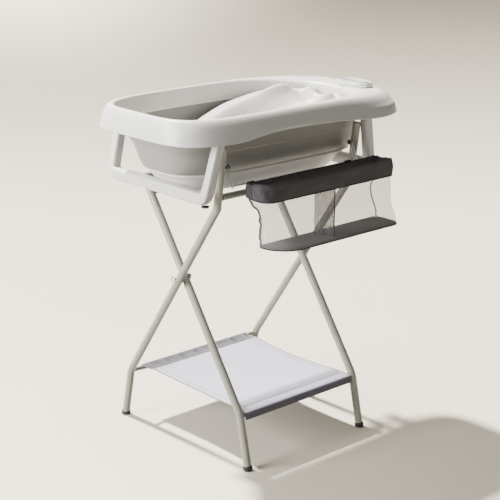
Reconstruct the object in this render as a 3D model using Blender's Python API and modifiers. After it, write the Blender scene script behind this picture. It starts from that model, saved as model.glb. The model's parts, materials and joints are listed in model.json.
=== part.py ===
"""Changing and bathing stand: scissor legs that carry a collapsible tub, a hanging organizer and a shelf.

Units are metres. X runs along the tub from its foot end to its head end, -Y is the front and +Z is up. Each
function works from the middle of the leg frame; centre_part then moves the whole part over the origin.
"""

import math

import bmesh
import bpy
from mathutils import Vector

# ---- leg frame ----------------------------------------------------------------------------------------------
TUBE_R = 0.011
OUTER_LEG_X = 0.243
INNER_LEG_X = 0.2155
FOOT_Y = 0.2615
BEND_Y = 0.2274
BEND_Z = 0.1536
FOLD_Y = -0.172
FOLD_Z = 0.722
INNER_TOP_Y = 0.1600
INNER_TOP_Z = 0.7160
CAP_R = 0.0135
CAP_H = 0.014
ROD_R = 0.0065
ROD_Y = 0.2287
ROD_Z = 0.1480
CROSS_R = 0.009
REAR_RAIL_Y = 0.1775
REAR_RAIL_Z = 0.7410
FRONT_RAIL_Y = -0.1765
FRONT_RAIL_Z = 0.7525
POST_TOP_Y = -0.1955
POST_TOP_Z = 0.888
SEAT_R = 0.0121

# ---- end frames ---------------------------------------------------------------------------------------------
END_X = 0.2975
END_Y = 0.2015
BAR_SHIFT_Y = 0.008
END_TOP_Y = 0.2085
END_TOP_Z = 0.911
END_BAR_Z = 0.7605
END_BAR_H = 0.033
END_BAR_T = 0.030
END_POST_W = 0.027
END_LEAN = 0.22
END_CORNER_R = 0.026

# ---- tub ----------------------------------------------------------------------------------------------------
RING_POINTS = 56
CREST_Z = 0.967
BAND_TOP_Z = 0.9166
BASE_TOP_Z = 0.8024
BASE_BOTTOM_Z = 0.7506
FLOOR_Z = 0.7566
DRAIN_X = -0.195

# ---- organizer ----------------------------------------------------------------------------------------------
ORG_LEFT = -0.196
ORG_RIGHT = 0.291
ORG_BACK = -0.2205
ORG_FRONT = -0.300
BAG_BOTTOM_Z = 0.607
PEG_X = 0.2318
PEG_Y = -0.1890
PEG_Z = 0.834
LINK_X = 0.2255
WIRE_Y = -0.2130
WIRE_Z = 0.7880

# ---- shelf --------------------------------------------------------------------------------------------------
SHELF_HALF_X = 0.2025
SHELF_TOP_Z = 0.1580
SHELF_THICK = 0.0025

GAP = 0.0004

# The leg frame's middle lies here in the finished frame, whose origin is under the middle of the whole part.
SHIFT_X = -0.0330
SHIFT_Y = 0.0187


# =============================================================================================================
# Helpers
# =============================================================================================================
def clear_scene():
    for obj in list(bpy.data.objects):
        bpy.data.objects.remove(obj, do_unlink=True)


MATERIALS = {}


def material(name, colour, roughness, metallic=0.0):
    """A simple material of that name, made once."""
    if name not in MATERIALS:
        made = bpy.data.materials.new(name)
        made.use_nodes = True
        shader = made.node_tree.nodes["Principled BSDF"]
        shader.inputs["Base Color"].default_value = (*colour, 1.0)
        shader.inputs["Roughness"].default_value = roughness
        shader.inputs["Metallic"].default_value = metallic
        MATERIALS[name] = made
    return MATERIALS[name]


def white_plastic():
    return material("white_plastic", (0.78, 0.78, 0.76), 0.35)


def tube_paint():
    return material("tube_paint", (0.55, 0.54, 0.50), 0.40)


def black_rubber():
    return material("black_rubber", (0.02, 0.02, 0.02), 0.80)


def steel():
    return material("steel", (0.60, 0.60, 0.60), 0.25, 1.0)


def grey_elastomer():
    return material("grey_elastomer", (0.24, 0.24, 0.23), 0.60)


def shelf_cloth():
    return material("shelf_cloth", (0.60, 0.60, 0.66), 0.90)


def organizer_cloth():
    return material("organizer_cloth", (0.07, 0.07, 0.08), 0.85)


def mesh_cloth():
    return material("mesh_cloth", (0.65, 0.65, 0.63), 0.80)


def place(name, data, finish=None, helper=False):
    """Links an object. A helper goes to the cutters, is drawn as wire and isn't part of the object."""
    made = bpy.data.objects.new(name, data)
    if finish is not None:
        data.materials.append(finish)
    home = "cutters" if helper else "changing_table"
    if home not in bpy.data.collections:
        bpy.context.scene.collection.children.link(bpy.data.collections.new(home))
    bpy.data.collections[home].objects.link(made)
    made.hide_render = helper
    made.display_type = "WIRE" if helper else "TEXTURED"
    return made


def shade(made):
    made.data.shade_smooth()
    made.data.set_sharp_from_angle(angle=math.radians(35))
    return made


def skin(name, vertices, faces, finish):
    """A closed mesh whose faces are turned outward."""
    data = bpy.data.meshes.new(name)
    data.from_pydata(vertices, [], faces)
    work = bmesh.new()
    work.from_mesh(data)
    bmesh.ops.recalc_face_normals(work, faces=work.faces)
    work.to_mesh(data)
    work.free()
    return shade(place(name, data, finish))


def loft(name, rings, finish, closed=False):
    """A skin over rings of equal length: capped at both ends, or closed round on itself."""
    count = len(rings[0])
    vertices = [point for ring in rings for point in ring]
    faces = []
    last = len(rings) if closed else len(rings) - 1
    for r in range(last):
        here = r * count
        there = ((r + 1) % len(rings)) * count
        for i in range(count):
            j = (i + 1) % count
            faces.append((here + i, here + j, there + j, there + i))
    if not closed:
        faces.append(tuple(range(count)))
        faces.append(tuple(range(len(vertices) - count, len(vertices))))
    return skin(name, vertices, faces, finish)


def circle_about(centre, side, up, radius, count):
    """Points on a circle in the plane of two unit vectors."""
    points = []
    for i in range(count):
        angle = 2.0 * math.pi * i / count
        points.append(centre + side * (radius * math.cos(angle)) + up * (radius * math.sin(angle)))
    return points


def bent_path(corners, radius, steps=5):
    """A polyline whose inner corners are rounded off."""
    points = [Vector(corners[0])]
    for before, corner, after in zip(corners, corners[1:], corners[2:]):
        before = Vector(before)
        corner = Vector(corner)
        after = Vector(after)
        into = (corner - before).normalized()
        out = (after - corner).normalized()
        back = radius * math.tan(into.angle(out) / 2.0)
        start = corner - into * back
        end = corner + out * back
        for k in range(steps + 1):
            t = k / steps
            points.append(start * (1 - t) ** 2 + corner * (2 * t * (1 - t)) + end * t**2)
    points.append(Vector(corners[-1]))
    return points


def tube(name, path, radius, finish, origin=(0.0, 0.0, 0.0), around=5, cyclic=False):
    """A round bar or wire along a path: a bevelled curve with filled caps."""
    origin = Vector(origin)
    data = bpy.data.curves.new(name, "CURVE")
    data.dimensions = "3D"
    data.bevel_depth = radius
    data.bevel_resolution = around
    data.use_fill_caps = not cyclic
    line = data.splines.new("POLY")
    line.points.add(len(path) - 1)
    line.use_cyclic_u = cyclic
    for point, position in zip(line.points, path):
        point.co = (*(Vector(position) - origin), 1.0)
    made = place(name, data, finish)
    made.location = origin
    return made


def to_mesh(made):
    """Turns a bevelled curve into a closed mesh, so that it can take a Boolean."""
    name = made.name
    finish = made.data.materials[0]
    where = made.location.copy()
    graph = bpy.context.evaluated_depsgraph_get()
    data = bpy.data.meshes.new_from_object(made.evaluated_get(graph))
    data.materials.clear()
    bpy.data.objects.remove(made, do_unlink=True)
    work = bmesh.new()
    work.from_mesh(data)
    bmesh.ops.remove_doubles(work, verts=work.verts, dist=0.00001)
    bmesh.ops.recalc_face_normals(work, faces=work.faces)
    work.to_mesh(data)
    work.free()
    solid = place(name, data, finish)
    solid.location = where
    return shade(solid)


def turned(name, profile, centre, axis, finish=None, steps=20, helper=False):
    """A solid turned about an axis by a Screw. The profile lists (radius, distance along the axis)."""
    points = [(0.0, profile[0][1])] + list(profile) + [(0.0, profile[-1][1])]
    data = bpy.data.meshes.new(name)
    edges = [(i, i + 1) for i in range(len(points) - 1)]
    data.from_pydata([(r, 0.0, d) for r, d in reversed(points)], edges, [])
    made = place(name, data, finish, helper)
    made.location = centre
    made.rotation_mode = "QUATERNION"
    made.rotation_quaternion = Vector(axis).to_track_quat("Z", "Y")
    screw = made.modifiers.new("turn", "SCREW")
    screw.axis = "Z"
    screw.steps = steps
    screw.render_steps = steps
    screw.use_merge_vertices = True
    screw.merge_threshold = 0.00001
    screw.use_smooth_shade = True
    return made


def plate(name, outline, x_middle, thickness, finish):
    """A flat outline in Y and Z, extruded evenly to both sides of a plane across X."""
    data = bpy.data.curves.new(name, "CURVE")
    data.dimensions = "2D"
    data.fill_mode = "BOTH"
    data.extrude = 0.5 * thickness
    line = data.splines.new("POLY")
    line.points.add(len(outline) - 1)
    line.use_cyclic_u = True
    for point, (y, z) in zip(line.points, outline):
        point.co = (y, z, 0.0, 1.0)
    made = place(name, data, finish)
    made.location.x = x_middle
    made.rotation_euler = (math.radians(90.0), 0.0, math.radians(90.0))
    return made


def block(name, low, high, finish=None, helper=False):
    """A box between two corners."""
    data = bpy.data.meshes.new(name)
    work = bmesh.new()
    bmesh.ops.create_cube(work, size=1.0)
    work.to_mesh(data)
    work.free()
    low = Vector(low)
    high = Vector(high)
    for vertex in data.vertices:
        vertex.co = Vector(a * b for a, b in zip(vertex.co, high - low))
    made = place(name, data, finish, helper)
    made.location = (low + high) / 2.0
    return made


def signed_power(value, exponent):
    return math.copysign(abs(value) ** exponent, value)


def oval_ring(left, right, half_y, n_left, n_right, height, count=RING_POINTS):
    """A rounded outline with its own length and squareness at each end. height is a number or f(x, y)."""
    points = []
    for i in range(count):
        angle = 2.0 * math.pi * i / count
        c = math.cos(angle)
        s = math.sin(angle)
        n = n_right if c >= 0 else n_left
        reach = right if c >= 0 else left
        x = reach * signed_power(c, 2.0 / n)
        y = half_y * signed_power(s, 2.0 / n)
        z = height(x, y) if callable(height) else height
        points.append(Vector((x, y, z)))
    return points


def smooth(value, low, high):
    t = min(1.0, max(0.0, (value - low) / (high - low)))
    return t * t * (3.0 - 2.0 * t)


def combine(target, other, operation):
    """Cuts a helper from a solid, or joins it on."""
    bool_step = target.modifiers.new(other.name, "BOOLEAN")
    bool_step.object = other
    bool_step.operation = operation
    bool_step.solver = "EXACT"
    return target


# =============================================================================================================
# Leg frame
# =============================================================================================================
def side_name(sign):
    return "left" if sign < 0 else "right"


def foot_centre(y_sign, z):
    """The middle of a leg's foot at a height: the foot stands nearly upright below its bend."""
    return y_sign * (FOOT_Y - (FOOT_Y - BEND_Y) / BEND_Z * z)


def outer_leg(sign):
    """A leg that hangs from the front hinge and stands at the back. Its top ends in a round knuckle."""
    x = sign * OUTER_LEG_X
    low = CAP_H + 0.003
    corners = [(x, foot_centre(1, low), low), (x, BEND_Y, BEND_Z), (x, FOLD_Y, FOLD_Z)]
    hinge = (x, FOLD_Y, FOLD_Z)
    leg = tube(f"outer_leg_{side_name(sign)}", bent_path(corners, 0.07), TUBE_R, tube_paint(), origin=hinge)
    half = TUBE_R * 0.985
    profile = [(half, -half), (half, half)]
    knuckle = turned(f"knuckle_{side_name(sign)}", profile, hinge, (1, 0, 0), helper=True)
    return combine(to_mesh(leg), knuckle, "UNION")


def inner_leg(sign):
    """A leg that stands at the front and reaches the rear rail."""
    x = sign * INNER_LEG_X
    low = CAP_H + 0.003
    corners = [(x, foot_centre(-1, low), low), (x, -BEND_Y, BEND_Z), (x, INNER_TOP_Y, INNER_TOP_Z)]
    y, z = pivot_point()
    path = bent_path(corners, 0.07)
    return tube(f"inner_leg_{side_name(sign)}", path, TUBE_R, tube_paint(), origin=(x, y, z))


def foot_cap(name, x, y_sign):
    """A rubber cap that leans with its leg and is flat underneath."""
    rings = []
    lean = Vector((0, foot_centre(y_sign, 1.0) - foot_centre(y_sign, 0.0), 1)).normalized()
    across = Vector((0, lean.z, -lean.y))
    for radius, z in ((CAP_R - 0.001, 0.0), (CAP_R, 0.002)):
        centre = Vector((x, foot_centre(y_sign, z), z))
        rings.append(circle_about(centre, Vector((1, 0, 0)), Vector((0, 1, 0)), radius, 16))
    for radius, z in ((CAP_R, CAP_H - 0.002), (CAP_R - 0.001, CAP_H)):
        centre = Vector((x, foot_centre(y_sign, z), z))
        rings.append(circle_about(centre, Vector((1, 0, 0)), across, radius, 16))
    return loft(name, rings, black_rubber())


def pivot_point():
    """Where the two straight legs of a side cross."""
    inner = (INNER_TOP_Z - BEND_Z) / (INNER_TOP_Y + BEND_Y)
    outer = (FOLD_Z - BEND_Z) / (FOLD_Y - BEND_Y)
    y = (-inner * BEND_Y - outer * BEND_Y) / (outer - inner)
    return y, BEND_Z + inner * (y + BEND_Y)


def pivot_hardware(sign):
    """The bolt head, the spacer between the two tubes and the nut of one scissor joint."""
    y, z = pivot_point()
    side = side_name(sign)
    head = [(0.0095, 0.0004), (0.0095, 0.0028), (0.0080, 0.0050), (0.0045, 0.0062)]
    turned(f"pivot_bolt_{side}", head, (sign * (OUTER_LEG_X + TUBE_R), y, z), (sign, 0, 0), steel())
    width = OUTER_LEG_X - INNER_LEG_X - 2.0 * TUBE_R
    disc = [(0.0125, GAP), (0.0125, width - GAP)]
    turned(f"pivot_spacer_{side}", disc, (sign * (INNER_LEG_X + TUBE_R), y, z), (sign, 0, 0), white_plastic())
    nut = [(0.0090, 0.0004), (0.0090, 0.0058), (0.0070, 0.0070)]
    turned(f"pivot_nut_{side}", nut, (sign * (INNER_LEG_X - TUBE_R), y, z), (-sign, 0, 0), white_plastic(), 6)


def cross_tube(name, half_x, y, z, radius, finish, around=4):
    return tube(name, [(-half_x, y, z), (half_x, y, z)], radius, finish, around=around)


def rear_hook(sign):
    """A saddle on the top of an inner leg. It carries the rear rail from below and slides forward off it."""
    x = sign * INNER_LEG_X
    y = REAR_RAIL_Y
    z = REAR_RAIL_Z
    rail = CROSS_R + 0.0008
    outline = []
    for k in range(7):
        angle = math.radians(-168 + k * 13)
        outline.append((y + rail * math.cos(angle), z + rail * math.sin(angle)))
    outline.append((y + 0.009, z - rail - 0.0004))
    along = Vector((INNER_TOP_Y + BEND_Y, INNER_TOP_Z - BEND_Z)).normalized()
    across = Vector((-along.y, along.x))
    top = Vector((INNER_TOP_Y, INNER_TOP_Z)) + along * GAP
    low_right = top - across * TUBE_R
    low_left = top + across * TUBE_R
    outline.append((low_right.x, low_right.y))
    outline.append((low_left.x, low_left.y))
    outline.append((low_left.x + 0.002, low_left.y + 0.010))
    return plate(f"rear_hook_{side_name(sign)}", outline, x, 0.018, white_plastic())


# =============================================================================================================
# Cradle: end frames, rails, posts and pegs
# =============================================================================================================
def end_frame(sign):
    """A moulded U of one bar and two posts, the posts leaning in under the rim."""
    lean = END_LEAN * (END_TOP_Z - END_BAR_Z)
    corners = [
        (sign * (END_X - lean), -END_TOP_Y, END_TOP_Z),
        (sign * END_X, BAR_SHIFT_Y - END_Y, END_BAR_Z),
        (sign * END_X, BAR_SHIFT_Y + END_Y, END_BAR_Z),
        (sign * (END_X - lean), END_TOP_Y, END_TOP_Z),
    ]
    path = bent_path(corners, END_CORNER_R, steps=6)
    rings = []
    for i, point in enumerate(path):
        along = (path[min(i + 1, len(path) - 1)] - path[max(i - 1, 0)]).normalized()
        side = Vector((sign, 0, 0))
        side = (side - along * side.dot(along)).normalized()
        up = along.cross(side)
        level = abs(along.y)
        tall = END_POST_W + (END_BAR_H - END_POST_W) * smooth(level, 0.3, 0.9)
        ring = []
        for k in range(20):
            angle = 2.0 * math.pi * k / 20
            a = 0.5 * END_BAR_T * signed_power(math.cos(angle), 0.62)
            b = 0.5 * tall * signed_power(math.sin(angle), 0.62)
            ring.append(point + side * a + up * b)
        rings.append(ring)
    for index, level in ((0, END_TOP_Z), (-1, END_TOP_Z)):
        for point in rings[index]:
            point.z = level
    return loft(f"end_frame_{side_name(sign)}", rings, white_plastic())


def corner_plug(sign):
    """A rubber stud under the front corner of an end frame."""
    y = BAR_SHIFT_Y - END_Y + 0.004
    top = END_BAR_Z - 0.5 * END_BAR_H - GAP
    profile = [(0.0105, 0.0), (0.0105, 0.0035), (0.0085, 0.0050)]
    place_at = (sign * END_X, y, top)
    return turned(f"corner_plug_{side_name(sign)}", profile, place_at, (0, 0, -1), black_rubber(), 14)


def post(sign):
    """The upper run of the front tube, beside the end frame, with a curved seat over the hinge knuckle."""
    x = sign * OUTER_LEG_X
    path = [(x, FOLD_Y, FOLD_Z), (x, POST_TOP_Y, POST_TOP_Z)]
    made = to_mesh(tube(f"front_post_{side_name(sign)}", path, TUBE_R, tube_paint()))
    ends = [(SEAT_R, -0.02), (SEAT_R, 0.02)]
    seat = turned(f"seat_{side_name(sign)}", ends, (x, FOLD_Y, FOLD_Z), (1, 0, 0), steps=40, helper=True)
    return combine(made, seat, "DIFFERENCE")


def peg(sign):
    """A stud with a head on the inner side of a front post. The wire link hangs on its neck."""
    profile = [(0.0032, 0.0006), (0.0032, 0.0095), (0.0065, 0.0100), (0.0065, 0.0125), (0.0050, 0.0138)]
    centre = (sign * PEG_X, PEG_Y, PEG_Z)
    return turned(f"peg_{side_name(sign)}", profile, centre, (-sign, 0, 0), black_rubber(), 16)


# =============================================================================================================
# Tub
# =============================================================================================================
SKIRT_LOW_Z = 0.9035
SKIRT_HEAD_DROP = 0.0060
ARCH_RISE = 0.0158
ARCH_X = -0.020
ARCH_FOOT_REACH = 0.155
ARCH_HEAD_REACH = 0.262


def skirt_edge(x, y):
    """The lower edge of the skirt: low at both ends and arched along the sides, steeply near the foot end."""
    reach = ARCH_FOOT_REACH if x < ARCH_X else ARCH_HEAD_REACH
    low = SKIRT_LOW_Z - SKIRT_HEAD_DROP * smooth(x, -0.05, 0.25)
    return low + ARCH_RISE * math.exp(-(((x - ARCH_X) / reach) ** 4))


def head_drop(x):
    return 0.008 * smooth(x, 0.12, 0.40)


def at_level(z):
    return lambda x, y: z - head_drop(x)


def rim():
    """The moulded rim: a flared skirt, a rounded top that is broad at the head end, and the inner wall."""
    rings = [
        oval_ring(0.3830, 0.4490, 0.2450, 4.6, 4.4, skirt_edge),
        oval_ring(0.3800, 0.4440, 0.2390, 4.6, 4.4, 0.9240),
        oval_ring(0.3755, 0.4350, 0.2290, 4.5, 4.2, at_level(0.9460)),
        oval_ring(0.3715, 0.4250, 0.2205, 4.5, 4.0, at_level(0.9595)),
        oval_ring(0.3670, 0.4150, 0.2145, 4.5, 3.7, at_level(0.9655)),
        oval_ring(0.3615, 0.4020, 0.2085, 4.5, 3.4, at_level(CREST_Z)),
        oval_ring(0.3565, 0.3480, 0.2030, 4.5, 2.75, at_level(0.9650)),
        oval_ring(0.3535, 0.3340, 0.1995, 4.5, 2.6, at_level(0.9605)),
        oval_ring(0.3510, 0.3310, 0.1965, 4.4, 2.6, at_level(0.9500)),
        oval_ring(0.3425, 0.3250, 0.1870, 4.2, 2.8, 0.9168),
        oval_ring(0.3460, 0.3285, 0.1905, 4.2, 2.8, 0.9168),
        oval_ring(0.3545, 0.3345, 0.2000, 4.4, 2.6, at_level(0.9500)),
        oval_ring(0.3575, 0.3400, 0.2040, 4.5, 2.65, at_level(0.9600)),
        oval_ring(0.3620, 0.4020, 0.2095, 4.5, 3.4, at_level(0.9630)),
        oval_ring(0.3665, 0.4150, 0.2140, 4.5, 3.7, at_level(0.9600)),
        oval_ring(0.3722, 0.4315, 0.2255, 4.5, 4.2, at_level(0.9450)),
        oval_ring(0.3768, 0.4408, 0.2358, 4.6, 4.4, 0.9240),
        oval_ring(0.3798, 0.4458, 0.2418, 4.6, 4.4, skirt_edge),
    ]
    return loft("tub_rim", rings, white_plastic(), closed=True)


BAND_RINGS = (
    (0.3460, 0.3285, 0.1905, 4.2, 2.8, BAND_TOP_Z),
    (0.3360, 0.3300, 0.1830, 4.0, 3.6, 0.8950),
    (0.3250, 0.3290, 0.1750, 3.8, 4.2, 0.8690),
    (0.3140, 0.3250, 0.1600, 3.4, 4.8, 0.8280),
    (0.3060, 0.3180, 0.1430, 3.2, 5.0, BASE_TOP_Z + GAP),
)


def thick_wall(name, outer, finish, inward):
    """A band of wall between stacked rings, open above and below."""
    rings = [oval_ring(*ring) for ring in outer]
    inside = [oval_ring(a - inward, b - inward, c - inward, n, m, z) for a, b, c, n, m, z in reversed(outer)]
    return loft(name, rings + inside, finish, closed=True)


def band():
    """The flexible wall between the rim and the base."""
    return thick_wall("tub_band", BAND_RINGS, grey_elastomer(), 0.0034)


def base():
    """The shallow tray under the band, one wall thick, with a small latch pocket in its front."""
    outer = [
        (0.3060, 0.3180, 0.1430, 3.2, 5.0, BASE_TOP_Z),
        (0.2960, 0.3075, 0.1385, 3.2, 4.6, 0.7920),
        (0.2840, 0.2830, 0.1340, 3.2, 4.3, 0.7800),
        (0.2720, 0.2750, 0.1290, 3.2, 4.0, 0.7660),
        (0.2640, 0.2680, 0.1240, 3.2, 3.8, 0.7560),
        (0.2520, 0.2550, 0.1150, 3.2, 3.6, BASE_BOTTOM_Z),
    ]
    inner = [
        (0.2460, 0.2490, 0.1090, 3.2, 3.6, FLOOR_Z - 0.0006),
        (0.2560, 0.2590, 0.1180, 3.2, 3.8, FLOOR_Z + 0.0010),
        (0.2680, 0.2710, 0.1250, 3.2, 4.0, 0.7670),
        (0.2800, 0.2790, 0.1300, 3.2, 4.3, 0.7805),
        (0.2920, 0.3035, 0.1345, 3.2, 4.6, 0.7925),
        (0.3020, 0.3140, 0.1390, 3.2, 5.0, BASE_TOP_Z),
    ]
    # From the underside up the outside, over the lip and down to the floor.
    order = [oval_ring(*ring) for ring in reversed(outer)]
    order += [oval_ring(*ring) for ring in reversed(inner)]
    made = loft("tub_base", order, white_plastic())
    pocket = block("latch_pocket", (-0.212, -0.1460, 0.7635), (-0.200, -0.1340, 0.7765), helper=True)
    bore = [(0.0165, -0.02), (0.0165, 0.02)]
    drain = turned("drain_hole", bore, (DRAIN_X, 0.0, FLOOR_Z), (0, 0, 1), helper=True)
    combine(made, pocket, "DIFFERENCE")
    return combine(made, drain, "DIFFERENCE")


def drain_plug():
    """A plug in the floor, with a grip on top."""
    profile = [
        (0.0145, -0.0055),
        (0.0158, 0.0),
        (0.0158, 0.0008),
        (0.0205, 0.0010),
        (0.0205, 0.0030),
        (0.0060, 0.0042),
        (0.0050, 0.0120),
        (0.0020, 0.0135),
    ]
    return turned("drain_plug", profile, (DRAIN_X, 0.0, FLOOR_Z), (0, 0, 1), grey_elastomer(), 24)


def soap_dish():
    """A low oval dish on the head shelf, with a raised edge."""
    x, y = 0.3720, -0.064
    seat = CREST_Z - 0.0035

    def ring(scale_x, scale_y, z):
        points = []
        for i in range(36):
            angle = 2.0 * math.pi * i / 36
            px = x + 0.033 * scale_x * signed_power(math.cos(angle), 0.85)
            py = y + 0.060 * scale_y * signed_power(math.sin(angle), 0.85)
            points.append(Vector((px, py, z)))
        return points

    rings = [
        ring(0.95, 0.97, seat - 0.0015),
        ring(1.00, 1.00, seat + 0.0010),
        ring(1.00, 1.00, seat + 0.0080),
        ring(0.95, 0.97, seat + 0.0105),
        ring(0.86, 0.92, seat + 0.0100),
        ring(0.80, 0.88, seat + 0.0060),
    ]
    return loft("soap_dish", rings, white_plastic())


def soap_pad():
    """The loose grey tray in the soap dish."""
    x, y = 0.3720, -0.064
    z = CREST_Z - 0.0035 + 0.0060 + GAP
    rings = []
    for scale, height in ((0.97, 0.0), (1.0, 0.0010), (1.0, 0.0045), (0.94, 0.0060)):
        points = []
        for i in range(36):
            angle = 2.0 * math.pi * i / 36
            px = x + 0.0250 * scale * signed_power(math.cos(angle), 0.85)
            py = y + 0.0510 * scale * signed_power(math.sin(angle), 0.85)
            points.append(Vector((px, py, z + height)))
        rings.append(points)
    return loft("soap_tray", rings, grey_elastomer())


# =============================================================================================================
# Bath insert
# =============================================================================================================
INSERT_START = -0.165
INSERT_END = 0.312
FLANGE = (
    (-0.165, 0.846),
    (-0.060, 0.885),
    (0.037, 0.914),
    (0.112, 0.927),
    (0.190, 0.937),
    (0.262, 0.9405),
    (0.312, 0.936),
)
SEAT = (
    (-0.165, 0.775),
    (-0.060, 0.806),
    (0.037, 0.842),
    (0.112, 0.872),
    (0.190, 0.895),
    (0.262, 0.914),
    (0.312, 0.927),
)
INSERT_WIDTH = (
    (-0.165, 0.108),
    (-0.120, 0.125),
    (-0.060, 0.139),
    (0.037, 0.151),
    (0.112, 0.155),
    (0.190, 0.150),
    (0.262, 0.125),
    (0.312, 0.070),
)


def along_curve(table, x):
    """A smooth reading between the stations of a table."""
    if x <= table[0][0]:
        return table[0][1]
    for (x0, v0), (x1, v1) in zip(table, table[1:]):
        if x <= x1:
            t = (x - x0) / (x1 - x0)
            t = t * t * (3.0 - 2.0 * t) * 0.35 + t * 0.65
            return v0 + (v1 - v0) * t
    return table[-1][1]


def insert_height(x, v):
    """The upper face of the insert: a hollow seat between two flanges, with a bolster on each side."""
    flange = along_curve(FLANGE, x)
    seat = along_curve(SEAT, x)
    side = smooth(abs(v), 0.30, 0.86)
    z = seat + (flange - seat) * side
    for centre, reach, lift in ((0.185, 0.062, 0.030), (0.268, 0.030, 0.018)):
        near = math.exp(-(((x - centre) / reach) ** 2)) * math.exp(-(((abs(v) - 0.52) / 0.19) ** 2))
        z += lift * near
    return min(z, 0.9560)


def bath_insert():
    """A thin moulded shell that lies in the tub, from the floor up to the head end."""
    rows, columns = 32, 18
    data = bpy.data.meshes.new("bath_insert")
    work = bmesh.new()
    bmesh.ops.create_grid(work, x_segments=rows, y_segments=columns, size=1.0)
    for vertex in work.verts:
        x = INSERT_START + 0.5 * (vertex.co.x + 1.0) * (INSERT_END - INSERT_START)
        v = vertex.co.y
        vertex.co = (x, along_curve(INSERT_WIDTH, x) * v, insert_height(x, v))
    work.to_mesh(data)
    work.free()
    made = shade(place("bath_insert", data, white_plastic()))
    thick = made.modifiers.new("thickness", "SOLIDIFY")
    thick.thickness = 0.0034
    thick.offset = -1.0
    holes = [(0.012 + 0.024 * i, 0.024 * j) for i in range(4) for j in (-1, 0, 1)]
    holes.append((0.236, 0.098))
    for i, (x, y) in enumerate(holes):
        bore = [(0.0026, -0.10), (0.0026, 0.10)]
        drill = turned(f"drill_{i}", bore, (x, y, 0.88), (0, 0, 1), steps=6, helper=True)
        combine(made, drill, "DIFFERENCE")
    return made


# =============================================================================================================
# Organizer
# =============================================================================================================
def organizer_outline(left, right, back, front, big, small, height, count_per_corner=7):
    """A rectangle with one large rounded corner at the front left."""
    corners = (
        (left, front, big, 180),
        (right, front, small, 270),
        (right, back, small, 0),
        (left, back, small, 90),
    )
    points = []
    for cx, cy, radius, start in corners:
        mx = cx + radius if cx == left else cx - radius
        my = cy + radius if cy == front else cy - radius
        for k in range(count_per_corner):
            angle = math.radians(start + 90.0 * k / (count_per_corner - 1))
            x = mx + radius * math.cos(angle)
            y = my + radius * math.sin(angle)
            points.append(Vector((x, y, height(y) if callable(height) else height)))
    return points


def band_top(y):
    return 0.791 + (ORG_BACK - y) * 0.14


def band_bottom(y):
    return 0.757 + (y - ORG_BACK) * 0.17


def drawn_in(sides, inset):
    """The left, right, back and front of an outline, moved inward."""
    left, right, back, front = sides
    return left + inset, right - inset, back - inset, front + inset


def organizer_band():
    """The padded collar round the mouth."""
    outer = (ORG_LEFT, ORG_RIGHT, ORG_BACK, ORG_FRONT)
    inner = drawn_in(outer, 0.010)
    rings = [
        organizer_outline(*outer, 0.040, 0.014, lambda y: band_bottom(y) + 0.003),
        organizer_outline(*outer, 0.040, 0.014, lambda y: band_top(y) - 0.003),
        organizer_outline(*drawn_in(outer, 0.003), 0.037, 0.011, band_top),
        organizer_outline(*drawn_in(inner, -0.003), 0.033, 0.007, band_top),
        organizer_outline(*inner, 0.030, 0.004, lambda y: band_top(y) - 0.003),
        organizer_outline(*inner, 0.030, 0.004, lambda y: band_bottom(y) + 0.003),
        organizer_outline(*drawn_in(inner, -0.002), 0.032, 0.006, band_bottom),
        organizer_outline(*drawn_in(outer, 0.002), 0.038, 0.012, band_bottom),
    ]
    return loft("organizer_band", rings, organizer_cloth(), closed=True)


def bag_ring(level, inset):
    """An outline of the bag: level 0 is its mouth, level 1 its floor."""
    swing = smooth(level, 0.0, 0.75)
    left = ORG_LEFT + 0.006 + 0.050 * swing + inset
    right = ORG_RIGHT - 0.006 + 0.026 * smooth(level, 0.55, 1.0) - inset
    back = ORG_BACK - 0.004 + 0.010 * swing - inset
    front = ORG_FRONT + 0.004 - 0.016 * swing + inset
    big = 0.036 + 0.050 * swing - inset
    small = 0.010 + 0.008 * swing - inset * 0.5

    def height(y):
        mouth = band_bottom(y) - 0.0006
        return mouth + (BAG_BOTTOM_Z - mouth) * level

    return organizer_outline(left, right, back, front, big, small, height)


def organizer_bag():
    """The mesh walls and their floor, open at the mouth."""
    wall = 0.002
    outside = [bag_ring(level, 0.0) for level in (1.0, 0.8, 0.6, 0.4, 0.2, 0.0)]
    inside = [bag_ring(level, wall) for level in (0.0, 0.2, 0.4, 0.6, 0.8, 0.985)]
    return loft("organizer_bag", outside + inside, mesh_cloth())


def organizer_divider():
    """The cloth wall between the two compartments, set a little clear of the bag."""
    low = (0.0555, ORG_FRONT + 0.014, 0.616)
    high = (0.0575, ORG_BACK - 0.014, 0.748)
    return block("organizer_divider", low, high, mesh_cloth())


def link(sign):
    """A long wire loop that hangs on a peg and holds the end of the organizer's wire."""
    x = sign * LINK_X
    top = Vector((x, PEG_Y, PEG_Z))
    low = Vector((x, WIRE_Y, WIRE_Z))
    along = (low - top).normalized()
    across = Vector((0.0, -along.z, along.y))
    half = 0.0051
    arc = [math.pi * k / 8 for k in range(9)]
    path = [top + across * (half * math.cos(a)) - along * (half * math.sin(a)) for a in arc]
    path += [low - across * (half * math.cos(a)) + along * (half * math.sin(a)) for a in arc]
    return tube(f"link_{side_name(sign)}", path, 0.0015, steel(), origin=top, around=2, cyclic=True)


def hang_wire():
    """The wire behind the collar, whose ends lie in both links."""
    return cross_tube("organizer_wire", 0.2300, WIRE_Y, WIRE_Z, 0.0018, steel(), 2)


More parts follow.
